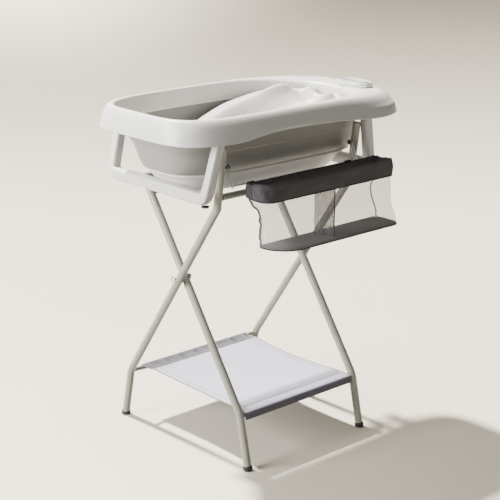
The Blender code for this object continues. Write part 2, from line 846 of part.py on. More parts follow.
def hang_tab(side, x):
    """A webbing loop that ties the collar to the wire."""
    outline = []
    for k in range(9):
        angle = math.radians(180 - 27 * k)
        outline.append((WIRE_Y + 0.0040 * math.cos(angle), WIRE_Z + 0.0040 * math.sin(angle)))
    for k in range(9):
        angle = math.radians(-36 + 27 * k)
        outline.append((WIRE_Y + 0.0023 * math.cos(angle), WIRE_Z + 0.0023 * math.sin(angle)))
    outline.append((WIRE_Y - 0.0046, WIRE_Z - 0.0100))
    outline.append((WIRE_Y - 0.0068, WIRE_Z - 0.0100))
    outline.append((WIRE_Y - 0.0068, WIRE_Z + 0.0006))
    return plate(f"hang_tab_{side}", outline, x, 0.022, organizer_cloth())


# =============================================================================================================
# Shelf
# =============================================================================================================
def shelf():
    """The cloth shelf: one sheet whose front and back hems hang over their rods."""
    top = SHELF_TOP_Z
    under = top - SHELF_THICK
    edge = ROD_Y + ROD_R + 0.0010
    skin = edge + SHELF_THICK
    drop = top - 0.024
    outline = [(-edge, under), (-edge, drop), (-skin, drop), (-skin, top - 0.001), (-skin + 0.001, top)]
    outline += [(skin - 0.001, top), (skin, top - 0.001), (skin, drop), (edge, drop), (edge, under)]
    return plate("shelf", outline, 0.0, 2.0 * SHELF_HALF_X, shelf_cloth())


def build_legs():
    for sign in (-1, 1):
        outer_leg(sign)
        inner_leg(sign)
        foot_cap(f"outer_foot_{side_name(sign)}", sign * OUTER_LEG_X, 1)
        foot_cap(f"inner_foot_{side_name(sign)}", sign * INNER_LEG_X, -1)
        pivot_hardware(sign)
        rear_hook(sign)
    half = INNER_LEG_X - TUBE_R - GAP
    cross_tube("inner_top_tube", half, INNER_TOP_Y - 0.010, INNER_TOP_Z - 0.0145, CROSS_R, tube_paint())
    cross_tube("shelf_rod_front", INNER_LEG_X - TUBE_R - GAP, -ROD_Y, ROD_Z, ROD_R, tube_paint())
    cross_tube("shelf_rod_back", OUTER_LEG_X - TUBE_R - GAP, ROD_Y, ROD_Z, ROD_R, tube_paint())


def build_cradle():
    for sign in (-1, 1):
        end_frame(sign)
        post(sign)
        peg(sign)
        corner_plug(sign)
    cross_tube("front_rail", OUTER_LEG_X - TUBE_R - GAP, FRONT_RAIL_Y, FRONT_RAIL_Z, CROSS_R, tube_paint())
    cross_tube("rear_rail", END_X - 0.5 * END_BAR_T - GAP, REAR_RAIL_Y, REAR_RAIL_Z, CROSS_R, tube_paint())


def build_tub():
    rim()
    band()
    base()
    drain_plug()
    soap_dish()
    soap_pad()
    bath_insert()


def build_organizer():
    organizer_band()
    organizer_bag()
    organizer_divider()
    hang_wire()
    hang_tab("left", -0.165)
    hang_tab("right", 0.190)
    for sign in (-1, 1):
        link(sign)


def centre_part():
    for obj in bpy.data.objects:
        obj.location.x += SHIFT_X
        obj.location.y += SHIFT_Y


def main():
    clear_scene()
    build_legs()
    build_cradle()
    build_tub()
    build_organizer()
    shelf()
    centre_part()


main()
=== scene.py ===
"""Looks of the folding bathing and changing stand: shells, cloth, mesh, materials, lights and camera."""

import json
import math

import bmesh
import bpy
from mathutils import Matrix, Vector

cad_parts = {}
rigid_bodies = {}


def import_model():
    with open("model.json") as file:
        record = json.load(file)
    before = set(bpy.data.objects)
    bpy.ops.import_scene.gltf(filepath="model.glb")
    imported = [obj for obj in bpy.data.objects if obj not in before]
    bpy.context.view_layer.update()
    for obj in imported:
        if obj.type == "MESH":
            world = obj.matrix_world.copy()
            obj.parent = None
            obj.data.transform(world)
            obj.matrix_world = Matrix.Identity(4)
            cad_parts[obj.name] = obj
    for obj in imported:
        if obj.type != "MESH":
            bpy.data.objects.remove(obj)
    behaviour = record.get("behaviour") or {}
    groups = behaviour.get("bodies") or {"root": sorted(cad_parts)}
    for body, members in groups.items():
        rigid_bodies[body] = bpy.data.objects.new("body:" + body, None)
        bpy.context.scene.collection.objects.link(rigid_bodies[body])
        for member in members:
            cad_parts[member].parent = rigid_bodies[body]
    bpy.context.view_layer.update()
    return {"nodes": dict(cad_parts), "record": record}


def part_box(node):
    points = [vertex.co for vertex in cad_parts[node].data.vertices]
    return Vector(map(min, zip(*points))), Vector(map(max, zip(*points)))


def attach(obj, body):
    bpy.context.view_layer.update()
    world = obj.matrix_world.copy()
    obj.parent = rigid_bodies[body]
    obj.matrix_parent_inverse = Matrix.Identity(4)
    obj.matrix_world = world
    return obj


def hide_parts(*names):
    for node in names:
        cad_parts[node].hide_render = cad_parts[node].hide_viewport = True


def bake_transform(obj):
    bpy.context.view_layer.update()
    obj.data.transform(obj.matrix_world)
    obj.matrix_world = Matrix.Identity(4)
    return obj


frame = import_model()

# The shelf's top mount lies on the middle of the leg frame. Every piece below is built about that middle.
MIDDLE = next(Vector(m["pos_m"]) for m in frame["record"]["mounts"] if m["name"] == "shelf_top")
SHIFT = Vector((MIDDLE.x, MIDDLE.y, 0.0))

# ---- leg frame ----
TUBE_R = 0.011
OUTER_LEG_X = 0.243
INNER_LEG_X = 0.2155
FOOT_Y = 0.2615
BEND_Y = 0.2274
BEND_Z = 0.1536
FOLD_Y = -0.172
FOLD_Z = 0.722
INNER_TOP_Y = 0.160
INNER_TOP_Z = 0.716
FRONT_RAIL_Y = -0.1765
FRONT_RAIL_Z = 0.7525
REAR_RAIL_Y = 0.1775
REAR_RAIL_Z = 0.7410
ROD_Y = 0.2287
ROD_Z = 0.1480
ROD_R = 0.0065
CROSS_R = 0.009
BEND_RADIUS = 0.07
GAP = 0.0004
REAR_RAIL_HALF = 0.2821

# ---- tub ----
CREST_Z = 0.967
DRAIN_X = -0.195
FLOOR_Z = 0.7566
DISH = Vector((0.3690, -0.059, CREST_Z - 0.0045))

# ---- organizer ----
ORG_LEFT = -0.196
ORG_RIGHT = 0.291
ORG_BACK = -0.2205
ORG_FRONT = -0.300
BAG_FLOOR_Z = 0.608
PEG_Y = -0.1890
PEG_Z = 0.834
HANG_Y = -0.2130
HANG_Z = 0.7880


# ---- Node helpers ----
class Graph:
    """A material's nodes, with short calls to add and join them."""

    def __init__(self, name):
        self.material = bpy.data.materials.new(name)
        self.material.use_nodes = True
        self.tree = self.material.node_tree
        self.shader = self.tree.nodes["Principled BSDF"]
        self.coords = self.add("ShaderNodeTexCoord").outputs["Object"]

    def add(self, kind, **values):
        node = self.tree.nodes.new(kind)
        for key, value in values.items():
            if hasattr(node, key):
                setattr(node, key, value)
            else:
                node.inputs[key.replace("_", " ")].default_value = value
        return node

    def join(self, output, target):
        self.tree.links.new(output, target)

    def noise(self, scale, detail=2.0, roughness=0.5):
        node = self.add("ShaderNodeTexNoise", Scale=scale, Detail=detail, Roughness=roughness)
        self.join(self.coords, node.inputs["Vector"])
        return node.outputs["Fac"]

    def stretched(self, factors):
        """The object coordinates, scaled by a factor along each axis."""
        node = self.add("ShaderNodeMapping")
        node.inputs["Scale"].default_value = factors
        self.join(self.coords, node.inputs["Vector"])
        return node.outputs["Vector"]

    def bands(self, direction, period, warp=0.0):
        """Threads along one axis: a sine of that period."""
        node = self.add("ShaderNodeTexWave", bands_direction=direction, Scale=0.314 / period, Distortion=warp)
        self.join(self.coords, node.inputs["Vector"])
        return node.outputs["Fac"]

    def rescaled(self, value, low, high):
        """A factor from 0 to 1, moved to the range from low to high."""
        node = self.add("ShaderNodeMapRange")
        node.inputs["To Min"].default_value = low
        node.inputs["To Max"].default_value = high
        self.join(value, node.inputs["Value"])
        return node.outputs["Result"]

    def math(self, operation, a, b=0.5):
        node = self.add("ShaderNodeMath", operation=operation)
        for socket, value in zip(node.inputs, (a, b)):
            if isinstance(value, (int, float)):
                socket.default_value = value
            else:
                self.join(value, socket)
        return node.outputs[0]

    def ramp(self, factor, *stops):
        """A colour ramp over (position, colour) stops."""
        node = self.add("ShaderNodeValToRGB")
        elements = node.color_ramp.elements
        while len(elements) < len(stops):
            elements.new(0.5)
        for element, (position, colour) in zip(elements, stops):
            element.position = position
            element.color = (*colour, 1.0)
        self.join(factor, node.inputs["Fac"])
        return node.outputs["Color"]

    def bump(self, height, strength, distance, under=None):
        node = self.add("ShaderNodeBump", Strength=strength, Distance=distance)
        self.join(height, node.inputs["Height"])
        if under is not None:
            self.join(under, node.inputs["Normal"])
        return node.outputs["Normal"]

    def finish(self, colour=None, normal=None, **scalars):
        if colour is not None:
            self.join(colour, self.shader.inputs["Base Color"])
        if normal is not None:
            self.join(normal, self.shader.inputs["Normal"])
        for key, value in scalars.items():
            self.shader.inputs[key.replace("_", " ")].default_value = value
        return self.material


def tint(colour, factor):
    return tuple(min(1.0, c * factor) for c in colour)


def moulded(name, colour, roughness, grain=0.10, spread=0.03):
    """Moulded plastic or rubber: faint cloudiness, a fine spark texture and slightly uneven gloss."""
    g = Graph(name)
    cloud = g.noise(9.0, 3.0)
    fine = g.noise(2600.0, 2.0)
    wavy = g.noise(34.0, 2.0)
    base = g.ramp(cloud, (0.30, tint(colour, 1.0 - spread)), (0.70, tint(colour, 1.0 + spread)))
    soft = g.bump(wavy, 0.05, 0.004)
    gloss = g.rescaled(g.noise(60.0, 3.0), roughness - 0.05, roughness + 0.07)
    g.join(gloss, g.shader.inputs["Roughness"])
    return g.finish(base, g.bump(fine, grain, 0.0003, soft))


def powder_coat():
    """Thin satin paint over steel tube, with orange peel and slight rubbing."""
    g = Graph("powder_coat")
    peel = g.noise(900.0, 2.0)
    wear = g.noise(24.0, 5.0, 0.7)
    rubbed = (0.25, (0.300, 0.295, 0.252))
    usual = (0.60, (0.350, 0.345, 0.298))
    pale = (0.85, (0.400, 0.394, 0.345))
    base = g.ramp(wear, rubbed, usual, pale)
    return g.finish(base, g.bump(peel, 0.16, 0.0004), Roughness=0.36, Metallic=0.0, Coat_Weight=0.15)


def wire_steel():
    g = Graph("wire_steel")
    drawn = g.add("ShaderNodeTexNoise", Scale=220.0, Detail=3.0)
    g.join(g.stretched((8.0, 1.0, 1.0)), drawn.inputs["Vector"])
    base = g.ramp(drawn.outputs["Fac"], (0.3, (0.36, 0.36, 0.35)), (0.7, (0.62, 0.62, 0.60)))
    return g.finish(base, g.bump(drawn.outputs["Fac"], 0.2, 0.0003), Roughness=0.28, Metallic=1.0)


def woven(name, dark, light, period, sheen=0.25):
    """Plain weave: uneven yarn and soft fading in the colour, two thread directions in the relief."""
    g = Graph(name)
    weave = g.math("MULTIPLY", g.bands("X", period, 0.4), g.bands("Z", period, 0.4))
    yarn = g.noise(950.0, 4.0, 0.7)
    fade = g.noise(11.0, 4.0, 0.6)
    shade = g.math("ADD", g.math("MULTIPLY", yarn, 0.55), g.math("MULTIPLY", fade, 0.45))
    base = g.ramp(shade, (0.32, dark), (0.68, light))
    normal = g.bump(weave, 0.10, 0.0003, g.bump(yarn, 0.25, 0.0006))
    return g.finish(base, normal, Roughness=0.85, Sheen_Weight=sheen, Sheen_Roughness=0.5)


def netting(name, colour, thin, thick):
    """Open mesh: fine bands across X and uneven cover, which both change how far it is seen through."""
    g = Graph(name)
    ribs = g.bands("X", 0.0030, 0.6)
    uneven = g.noise(45.0, 3.0)
    cover = g.math("ADD", g.math("MULTIPLY", ribs, 0.35), g.math("MULTIPLY", uneven, 0.65))
    g.join(g.rescaled(cover, thin, thick), g.shader.inputs["Alpha"])
    base = g.ramp(uneven, (0.3, tint(colour, 0.9)), (0.7, tint(colour, 1.08)))
    return g.finish(base, g.bump(ribs, 0.2, 0.0004), Roughness=0.8, Sheen_Weight=0.2)


WHITE = moulded("white_plastic", (0.690, 0.688, 0.660), 0.32)
TPE = moulded("grey_elastomer", (0.250, 0.250, 0.238), 0.48, grain=0.15, spread=0.05)
TPE_DARK = moulded("grey_insert", (0.40, 0.41, 0.42), 0.50, grain=0.2)
RUBBER = moulded("black_rubber", (0.016, 0.016, 0.016), 0.62, grain=0.3, spread=0.2)
PAINT = powder_coat()
STEEL = wire_steel()
SHELF_CLOTH = woven("shelf_cloth", (0.330, 0.327, 0.405), (0.420, 0.416, 0.505), 0.0016)
# Darker copies of the shelf cloth: painted shade for the front hem, which faces away from the sun, and for
# the gathered back sleeve; the turned side edges use the hem copy too.
SHADED_HEM_CLOTH = woven("shaded_hem_cloth", (0.110, 0.108, 0.140), (0.190, 0.186, 0.235), 0.0016)
SHADED_SLEEVE_CLOTH = woven("shaded_sleeve_cloth", (0.022, 0.021, 0.029), (0.075, 0.072, 0.095), 0.0016)
COLLAR_CLOTH = woven("collar_cloth", (0.018, 0.017, 0.022), (0.052, 0.050, 0.062), 0.0012, sheen=0.30)
PANEL_CLOTH = woven("panel_cloth", (0.038, 0.037, 0.041), (0.072, 0.070, 0.076), 0.0015)
BINDING = woven("binding", (0.010, 0.010, 0.012), (0.024, 0.023, 0.027), 0.0009, sheen=0.1)
THREAD = moulded("thread", (0.33, 0.325, 0.36), 0.7, grain=0.3)
MESH = netting("mesh_cloth", (0.33, 0.325, 0.335), 0.24, 0.40)
DENSE_MESH = netting("dense_mesh", (0.085, 0.083, 0.086), 0.60, 0.82)


# ---- Shape helpers ----
def settle(obj, material, body, replaces=(), levels=0):
    """Places a piece in the row frame, rides it on its body and hides the parts it stands for."""
    obj.location += SHIFT
    obj.data.materials.clear()
    obj.data.materials.append(material)
    if levels:
        smooth = obj.modifiers.new("smooth", "SUBSURF")
        smooth.levels = levels
        smooth.render_levels = levels
    if body is not None:
        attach(obj, body)
    if replaces:
        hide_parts(*replaces)
    return obj


def add_object(name, data):
    made = bpy.data.objects.new(name, data)
    bpy.context.scene.collection.objects.link(made)
    return made


def mesh_object(name, vertices, faces, angle=40.0):
    data = bpy.data.meshes.new(name)
    data.from_pydata(vertices, [], faces)
    work = bmesh.new()
    work.from_mesh(data)
    bmesh.ops.recalc_face_normals(work, faces=work.faces)
    work.to_mesh(data)
    work.free()
    data.shade_smooth()
    data.set_sharp_from_angle(angle=math.radians(angle))
    return add_object(name, data)


def grid_faces(rows, columns):
    """Quads over a grid that has one more vertex than quads each way, listed row by row."""
    faces = []
    for r in range(rows):
        for c in range(columns):
            a = r * (columns + 1) + c
            faces.append((a, a + 1, a + columns + 2, a + columns + 1))
    return faces


def loft(name, rings, closed=False, capped=True, angle=40.0):
    """A skin over rings of equal length, closed round on itself, capped or open."""
    count = len(rings[0])
    vertices = [point for ring in rings for point in ring]
    faces = []
    for r in range(len(rings) if closed else len(rings) - 1):
        here = r * count
        there = ((r + 1) % len(rings)) * count
        for i in range(count):
            j = (i + 1) % count
            faces.append((here + i, here + j, there + j, there + i))
    if not closed and capped:
        faces.append(tuple(range(count)))
        faces.append(tuple(range(len(vertices) - count, len(vertices))))
    return mesh_object(name, vertices, faces, angle)


def circle_about(centre, side, up, radius, count):
    angles = [2.0 * math.pi * i / count for i in range(count)]
    return [centre + side * (radius * math.cos(a)) + up * (radius * math.sin(a)) for a in angles]


def bent_path(corners, radius, steps=12):
    points = [Vector(corners[0])]
    for before, corner, after in zip(corners, corners[1:], corners[2:]):
        before = Vector(before)
        corner = Vector(corner)
        after = Vector(after)
        into = (corner - before).normalized()
        out = (after - corner).normalized()
        back = radius * math.tan(into.angle(out) / 2.0)
        start = corner - into * back
        end = corner + out * back
        for k in range(steps + 1):
            t = k / steps
            points.append(start * (1 - t) ** 2 + corner * (2 * t * (1 - t)) + end * t**2)
    points.append(Vector(corners[-1]))
    return points


def wire(name, path, radius, cyclic=False, around=6):
    """A round bar, wire, binding or thread along a path."""
    data = bpy.data.curves.new(name, "CURVE")
    data.dimensions = "3D"
    data.bevel_depth = radius
    data.bevel_resolution = around
    data.use_fill_caps = not cyclic
    line = data.splines.new("POLY")
    line.points.add(len(path) - 1)
    line.use_cyclic_u = cyclic
    line.use_smooth = True
    for point, position in zip(line.points, path):
        point.co = (*position, 1.0)
    return add_object(name, data)


def turned(name, profile, centre, axis, count=40):
    """A solid turned about an axis. The profile lists (radius, distance along the axis)."""
    centre = Vector(centre)
    along = Vector(axis).normalized()
    side = Vector((0, 0, 1)) if abs(along.z) < 0.5 else Vector((1, 0, 0))
    up = along.cross(side)
    rings = [circle_about(centre + along * d, side, up, r, count) for r, d in profile]
    return loft(name, rings, angle=30.0)


def level_bar(name, half, y, z, radius):
    """A straight round bar along X."""
    return wire(name, [(half * t, y, z) for t in (-1.0, -0.5, 0.0, 0.5, 1.0)], radius)


def signed_power(value, exponent):
    return math.copysign(abs(value) ** exponent, value)


def smooth(value, low, high):
    t = min(1.0, max(0.0, (value - low) / (high - low)))
    return t * t * (3.0 - 2.0 * t)


def wave_noise(*terms):
    """A smooth made-up unevenness: a sum of sines of the given (amplitude, angle) pairs."""
    return sum(amount * math.sin(angle) for amount, angle in terms)


def side_name(sign):
    return "left" if sign < 0 else "right"


# ---- Leg frame ----
def foot_centre(y_sign, z):
    return y_sign * (FOOT_Y - (FOOT_Y - BEND_Y) / BEND_Z * z)


def pivot_point():
    """The axis of the scissor joint in Y and Z, as the frame's record gives it."""
    joints = frame["record"]["behaviour"]["joints"]
    place = next(Vector(joint["pos_m"]) for joint in joints if joint["name"] == "scissor_pivot") - SHIFT
    return place.y, place.z


def foot(name, x, y_sign, top, body, node):
    """A pressed-on cap with a rounded sole and a small collar."""
    lean = Vector((0, foot_centre(y_sign, 1.0) - foot_centre(y_sign, 0.0), 1)).normalized()
    across = Vector((0, lean.z, -lean.y))
    level = Vector((0, 1, 0))
    side = Vector((1, 0, 0))
    rings = []
    for radius, z, up in (
        (0.0100, 0.0000, level),
        (0.0120, 0.0006, level),
        (0.0130, 0.0026, level),
        (0.0134, top - 0.0035, across),
        (0.0130, top - 0.0012, across),
        (0.0118, top, across),
    ):
        rings.append(circle_about(Vector((x, foot_centre(y_sign, z), z)), side, up, radius, 36))
    return settle(loft(name, rings, angle=50.0), RUBBER, body, [node])


def leg_tube(kind, side, x, y_sign, low, top):
    """One bent tube from inside its cap to its upper end, which top gives in Y and Z."""
    corners = [(x, foot_centre(y_sign, low), low), (x, y_sign * BEND_Y, BEND_Z), (x, *top)]
    tube = wire(f"tube_{kind}_{side}", bent_path(corners, BEND_RADIUS), TUBE_R)
    settle(tube, PAINT, f"legs_{kind}", [f"{kind}_leg_{side}"])


def knuckle(side, x):
    """The round upper end of an outer leg, centred on the fold axis."""
    turns = [math.radians(5.0 + 170.0 * k / 20) for k in range(21)]
    profile = [(TUBE_R * math.sin(a), -TUBE_R * math.cos(a)) for a in turns]
    made = turned(f"knuckle_{side}", profile, (x, FOLD_Y, FOLD_Z), (1, 0, 0))
    settle(made, PAINT, "legs_outer")


def legs():
    cap_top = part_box("outer_foot_left")[1].z - 0.0042
    low = cap_top - 0.0003
    for sign in (-1, 1):
        side = side_name(sign)
        x = sign * OUTER_LEG_X
        leg_tube("outer", side, x, 1, low, (FOLD_Y, FOLD_Z))
        knuckle(side, x)
        foot(f"cap_outer_{side}", x, 1, cap_top, "legs_outer", f"outer_foot_{side}")
        x = sign * INNER_LEG_X
        leg_tube("inner", side, x, -1, low, (INNER_TOP_Y, INNER_TOP_Z))
        foot(f"cap_inner_{side}", x, -1, cap_top, "legs_inner", f"inner_foot_{side}")
        pivot(sign)


def pivot(sign):
    """The bolt's head, the spacer between the two tubes and the cap nut."""
    side = side_name(sign)
    y, z = pivot_point()
    head = [
        (0.0040, 0.0002), (0.0092, 0.0003), (0.0092, 0.0022),
        (0.0082, 0.0042), (0.0050, 0.0056), (0.0010, 0.0061),
    ]
    outside = (sign * (OUTER_LEG_X + TUBE_R), y, z)
    bolt = turned(f"bolt_head_{side}", head, outside, (sign, 0, 0))
    settle(bolt, STEEL, "legs_outer", [f"pivot_bolt_{side}"])
    low = INNER_LEG_X + TUBE_R + GAP
    width = OUTER_LEG_X - TUBE_R - GAP - low
    disc = [(0.0112, 0.0), (0.0124, 0.0008), (0.0124, width - 0.0008), (0.0112, width)]
    spacer = turned(f"spacer_{side}", disc, (sign * low, y, z), (sign, 0, 0))
    settle(spacer, WHITE, "legs_outer", [f"pivot_spacer_{side}"])
    cap = [(0.0086, 0.0003), (0.0090, 0.0012), (0.0090, 0.0050), (0.0080, 0.0062), (0.0045, 0.0068)]
    nut = turned(f"cap_nut_{side}", cap, (sign * (INNER_LEG_X - TUBE_R), y, z), (-sign, 0, 0), 24)
    settle(nut, STEEL, "legs_inner", [f"pivot_nut_{side}"])


def cross_bar(name, half, y, z, radius, body, node):
    settle(level_bar(name, half, y, z, radius), PAINT, body, [node])


def bars():
    inner = INNER_LEG_X - TUBE_R - GAP
    outer = OUTER_LEG_X - TUBE_R - GAP
    top_y = INNER_TOP_Y - 0.010
    top_z = INNER_TOP_Z - 0.0145
    cross_bar("bar_inner_top", inner, top_y, top_z, CROSS_R, "legs_inner", "inner_top_tube")
    cross_bar("bar_shelf_front", inner, -ROD_Y, ROD_Z, ROD_R, "legs_inner", "shelf_rod_front")
    cross_bar("bar_shelf_back", outer, ROD_Y, ROD_Z, ROD_R, "legs_outer", "shelf_rod_back")
    cross_bar("bar_front", outer, FRONT_RAIL_Y, FRONT_RAIL_Z, CROSS_R, "cradle", "front_rail")
    cross_bar("bar_rear", REAR_RAIL_HALF, REAR_RAIL_Y, REAR_RAIL_Z, CROSS_R, "cradle", "rear_rail")


# ---- Cradle ----
END_X = 0.2975
END_Y = 0.2015
END_TOP_Y = 0.2085
END_TOP_Z = 0.911
END_BAR_Z = 0.7605
END_LEAN = 0.22
END_HALF_WIDE = 0.0150
END_POST_TALL = 0.027
END_BAR_TALL = 0.033
BAR_SHIFT_Y = 0.008


def end_frame(sign):
    """One moulded U: a rounded box section with a fine groove along its outer face."""
    lean = END_LEAN * (END_TOP_Z - END_BAR_Z)
    corners = [
        (sign * (END_X - lean), -END_TOP_Y, END_TOP_Z),
        (sign * END_X, BAR_SHIFT_Y - END_Y, END_BAR_Z),
        (sign * END_X, BAR_SHIFT_Y + END_Y, END_BAR_Z),
        (sign * (END_X - lean), END_TOP_Y, END_TOP_Z),
    ]
    path = bent_path(corners, 0.026, steps=14)
    rings = []
    for i, point in enumerate(path):
        along = (path[min(i + 1, len(path) - 1)] - path[max(i - 1, 0)]).normalized()
        side = Vector((sign, 0, 0))
        side = (side - along * side.dot(along)).normalized()
        up = along.cross(side)
        tall = END_POST_TALL + (END_BAR_TALL - END_POST_TALL) * smooth(abs(along.y), 0.3, 0.9)
        ring = []
        for k in range(48):
            angle = 2.0 * math.pi * k / 48
            a = END_HALF_WIDE * signed_power(math.cos(angle), 0.50)
            b = 0.5 * tall * signed_power(math.sin(angle), 0.50)
            groove = 0.0006 * math.exp(-((b / 0.0012) ** 2)) if a > 0.010 else 0.0
            ring.append(point + side * (a - groove) + up * b)
        rings.append(ring)
    for index in (0, -1):
        for point in rings[index]:
            point.z = END_TOP_Z
    name = side_name(sign)
    made = loft(f"cradle_{name}", rings, angle=50.0)
    settle(made, WHITE, "cradle", [f"end_frame_{name}"])


def corner_plug(sign):
    side = side_name(sign)
    profile = [
        (0.0060, 0.0), (0.0104, 0.0001), (0.0104, 0.0030),
        (0.0095, 0.0044), (0.0070, 0.0049), (0.0010, 0.0050),
    ]
    place = (sign * END_X, BAR_SHIFT_Y - END_Y + 0.004, END_BAR_Z - 0.5 * END_BAR_TALL - GAP)
    plug = turned(f"stud_{side}", profile, place, (0, 0, -1), 32)
    settle(plug, RUBBER, "cradle", [f"corner_plug_{side}"])


def screw(sign):
    """A low screw head on the outer face of an end frame."""
    profile = [(0.0036, -0.0010), (0.0036, 0.0004), (0.0026, 0.0010), (0.0016, 0.0004), (0.0008, 0.0003)]
    place = (sign * (END_X + END_HALF_WIDE), 0.020, END_BAR_Z + 0.004)
    made = turned(f"frame_screw_{side_name(sign)}", profile, place, (sign, 0, 0), 20)
    settle(made, STEEL, "cradle")


def post(sign):
    x = sign * OUTER_LEG_X
    path = [(x, FOLD_Y, FOLD_Z), (x, -0.1955, 0.888)]
    side = side_name(sign)
    settle(wire(f"tube_post_{side}", path, TUBE_R), PAINT, "cradle", [f"front_post_{side}"])


def peg(sign):
    side = side_name(sign)
    profile = [
        (0.0034, 0.0006), (0.0034, 0.0092), (0.0058, 0.0098),
        (0.0065, 0.0108), (0.0064, 0.0124), (0.0040, 0.0138),
    ]
    made = turned(f"stud_peg_{side}", profile, (sign * 0.2318, PEG_Y, PEG_Z), (-sign, 0, 0), 32)
    settle(made, RUBBER, "cradle", [f"peg_{side}"])


def cradle():
    for sign in (-1, 1):
        end_frame(sign)
        post(sign)
        peg(sign)
        screw(sign)
        corner_plug(sign)
    for side in ("left", "right"):
        node = frame["nodes"][f"rear_hook_{side}"]
        for spot in node.material_slots:
            spot.material = WHITE


# ---- Tub ----
TUB_POINTS = 128


def oval_ring(left, right, half_y, n_left, n_right, height, count=TUB_POINTS):
    points = []
    for i in range(count):
        angle = 2.0 * math.pi * i / count
        c = math.cos(angle)
        s = math.sin(angle)
        n = n_right if c >= 0 else n_left
        x = (right if c >= 0 else left) * signed_power(c, 2.0 / n)
        y = half_y * signed_power(s, 2.0 / n)
        points.append(Vector((x, y, height(x, y) if callable(height) else height)))
    return points


def skirt_edge(x, y):
    """The skirt hangs low at both ends and arches up along the sides, steeply near the foot end."""
    reach = 0.155 if x < -0.020 else 0.262
    return 0.9035 - 0.0060 * smooth(x, -0.05, 0.25) + 0.0158 * math.exp(-(((x + 0.020) / reach) ** 4))


def edge_up(lift):
    return lambda x, y: skirt_edge(x, y) + lift


def at_level(z):
    return lambda x, y: z - 0.008 * smooth(x, 0.12, 0.40)


def rim():
    """The moulded rim: rolled lower edge, flared skirt, rounded crest, stepped mouth and inner wall."""
    section = [
        (0.3800, 0.4460, 0.2420, 4.6, 4.4, edge_up(0.0002)),
        (0.3825, 0.4485, 0.2445, 4.6, 4.4, edge_up(0.0000)),
        (0.3832, 0.4492, 0.2452, 4.6, 4.4, edge_up(0.0022)),
        (0.3822, 0.4476, 0.2438, 4.6, 4.4, edge_up(0.0048)),
        (0.3802, 0.4444, 0.2394, 4.6, 4.4, 0.9250),
        (0.3775, 0.4395, 0.2340, 4.55, 4.3, at_level(0.9370)),
        (0.3748, 0.4330, 0.2278, 4.5, 4.2, at_level(0.9490)),
        (0.3718, 0.4262, 0.2212, 4.5, 4.0, at_level(0.9590)),
        (0.3680, 0.4180, 0.2160, 4.5, 3.8, at_level(0.9648)),
        (0.3630, 0.4060, 0.2100, 4.5, 3.5, at_level(CREST_Z)),
        (0.3590, 0.3700, 0.2055, 4.5, 3.0, at_level(0.9664)),
        (0.3565, 0.3480, 0.2030, 4.5, 2.75, at_level(0.9655)),
        (0.3545, 0.3400, 0.2010, 4.5, 2.65, at_level(0.9630)),
        (0.3532, 0.3350, 0.1996, 4.5, 2.6, at_level(0.9590)),
        (0.3520, 0.3325, 0.1980, 4.45, 2.6, at_level(0.9530)),
        (0.3480, 0.3295, 0.1935, 4.35, 2.7, at_level(0.9380)),
        (0.3440, 0.3262, 0.1888, 4.25, 2.75, 0.9225),
        (0.3428, 0.3252, 0.1873, 4.2, 2.8, 0.9172),
        (0.3458, 0.3282, 0.1903, 4.2, 2.8, 0.9172),
        (0.3470, 0.3292, 0.1918, 4.25, 2.75, 0.9235),
        (0.3545, 0.3350, 0.2005, 4.4, 2.6, at_level(0.9520)),
        (0.3575, 0.3400, 0.2040, 4.5, 2.65, at_level(0.9600)),
        (0.3620, 0.4020, 0.2095, 4.5, 3.4, at_level(0.9632)),
        (0.3670, 0.4160, 0.2145, 4.5, 3.7, at_level(0.9600)),
        (0.3722, 0.4315, 0.2255, 4.5, 4.2, at_level(0.9450)),
        (0.3770, 0.4408, 0.2358, 4.6, 4.4, 0.9240),
        (0.3790, 0.4446, 0.2408, 4.6, 4.4, edge_up(0.0040)),
    ]
    shell = loft("tub_rim_shell", [oval_ring(*ring) for ring in section], closed=True, angle=70.0)
    settle(shell, WHITE, "tub", ["tub_rim"], levels=1)


BAND_PROFILE = (
    (0.3458, 0.3283, 0.1903, 4.20, 2.80, 0.9164),
    (0.3440, 0.3288, 0.1888, 4.15, 3.00, 0.9110),
    (0.3400, 0.3294, 0.1858, 4.10, 3.30, 0.9030),
    (0.3352, 0.3298, 0.1824, 4.00, 3.65, 0.8930),
    (0.3290, 0.3295, 0.1782, 3.90, 4.00, 0.8800),
    (0.3246, 0.3290, 0.1748, 3.80, 4.20, 0.8690),
    (0.3228, 0.3276, 0.1722, 3.75, 4.25, 0.8665),
    (0.3188, 0.3268, 0.1690, 3.60, 4.45, 0.8560),
    (0.3160, 0.3260, 0.1640, 3.50, 4.65, 0.8420),
    (0.3138, 0.3250, 0.1596, 3.40, 4.80, 0.8280),
    (0.3116, 0.3225, 0.1548, 3.33, 4.90, 0.8170),
    (0.3100, 0.3205, 0.1500, 3.28, 4.95, 0.8105),
    (0.3066, 0.3184, 0.1436, 3.20, 5.00, 0.8030),
)


def band():
    """The flexible wall, with a sharp fold line part of the way down."""
    wall = 0.0030
    outside = [oval_ring(*ring) for ring in BAND_PROFILE]
    inside = []
    for left, right, half_y, n_left, n_right, z in reversed(BAND_PROFILE):
        inside.append(oval_ring(left - wall, right - wall, half_y - wall, n_left, n_right, z))
    made = loft("tub_wall", outside + inside, closed=True, angle=28.0)
    settle(made, TPE, "tub", ["tub_band"])


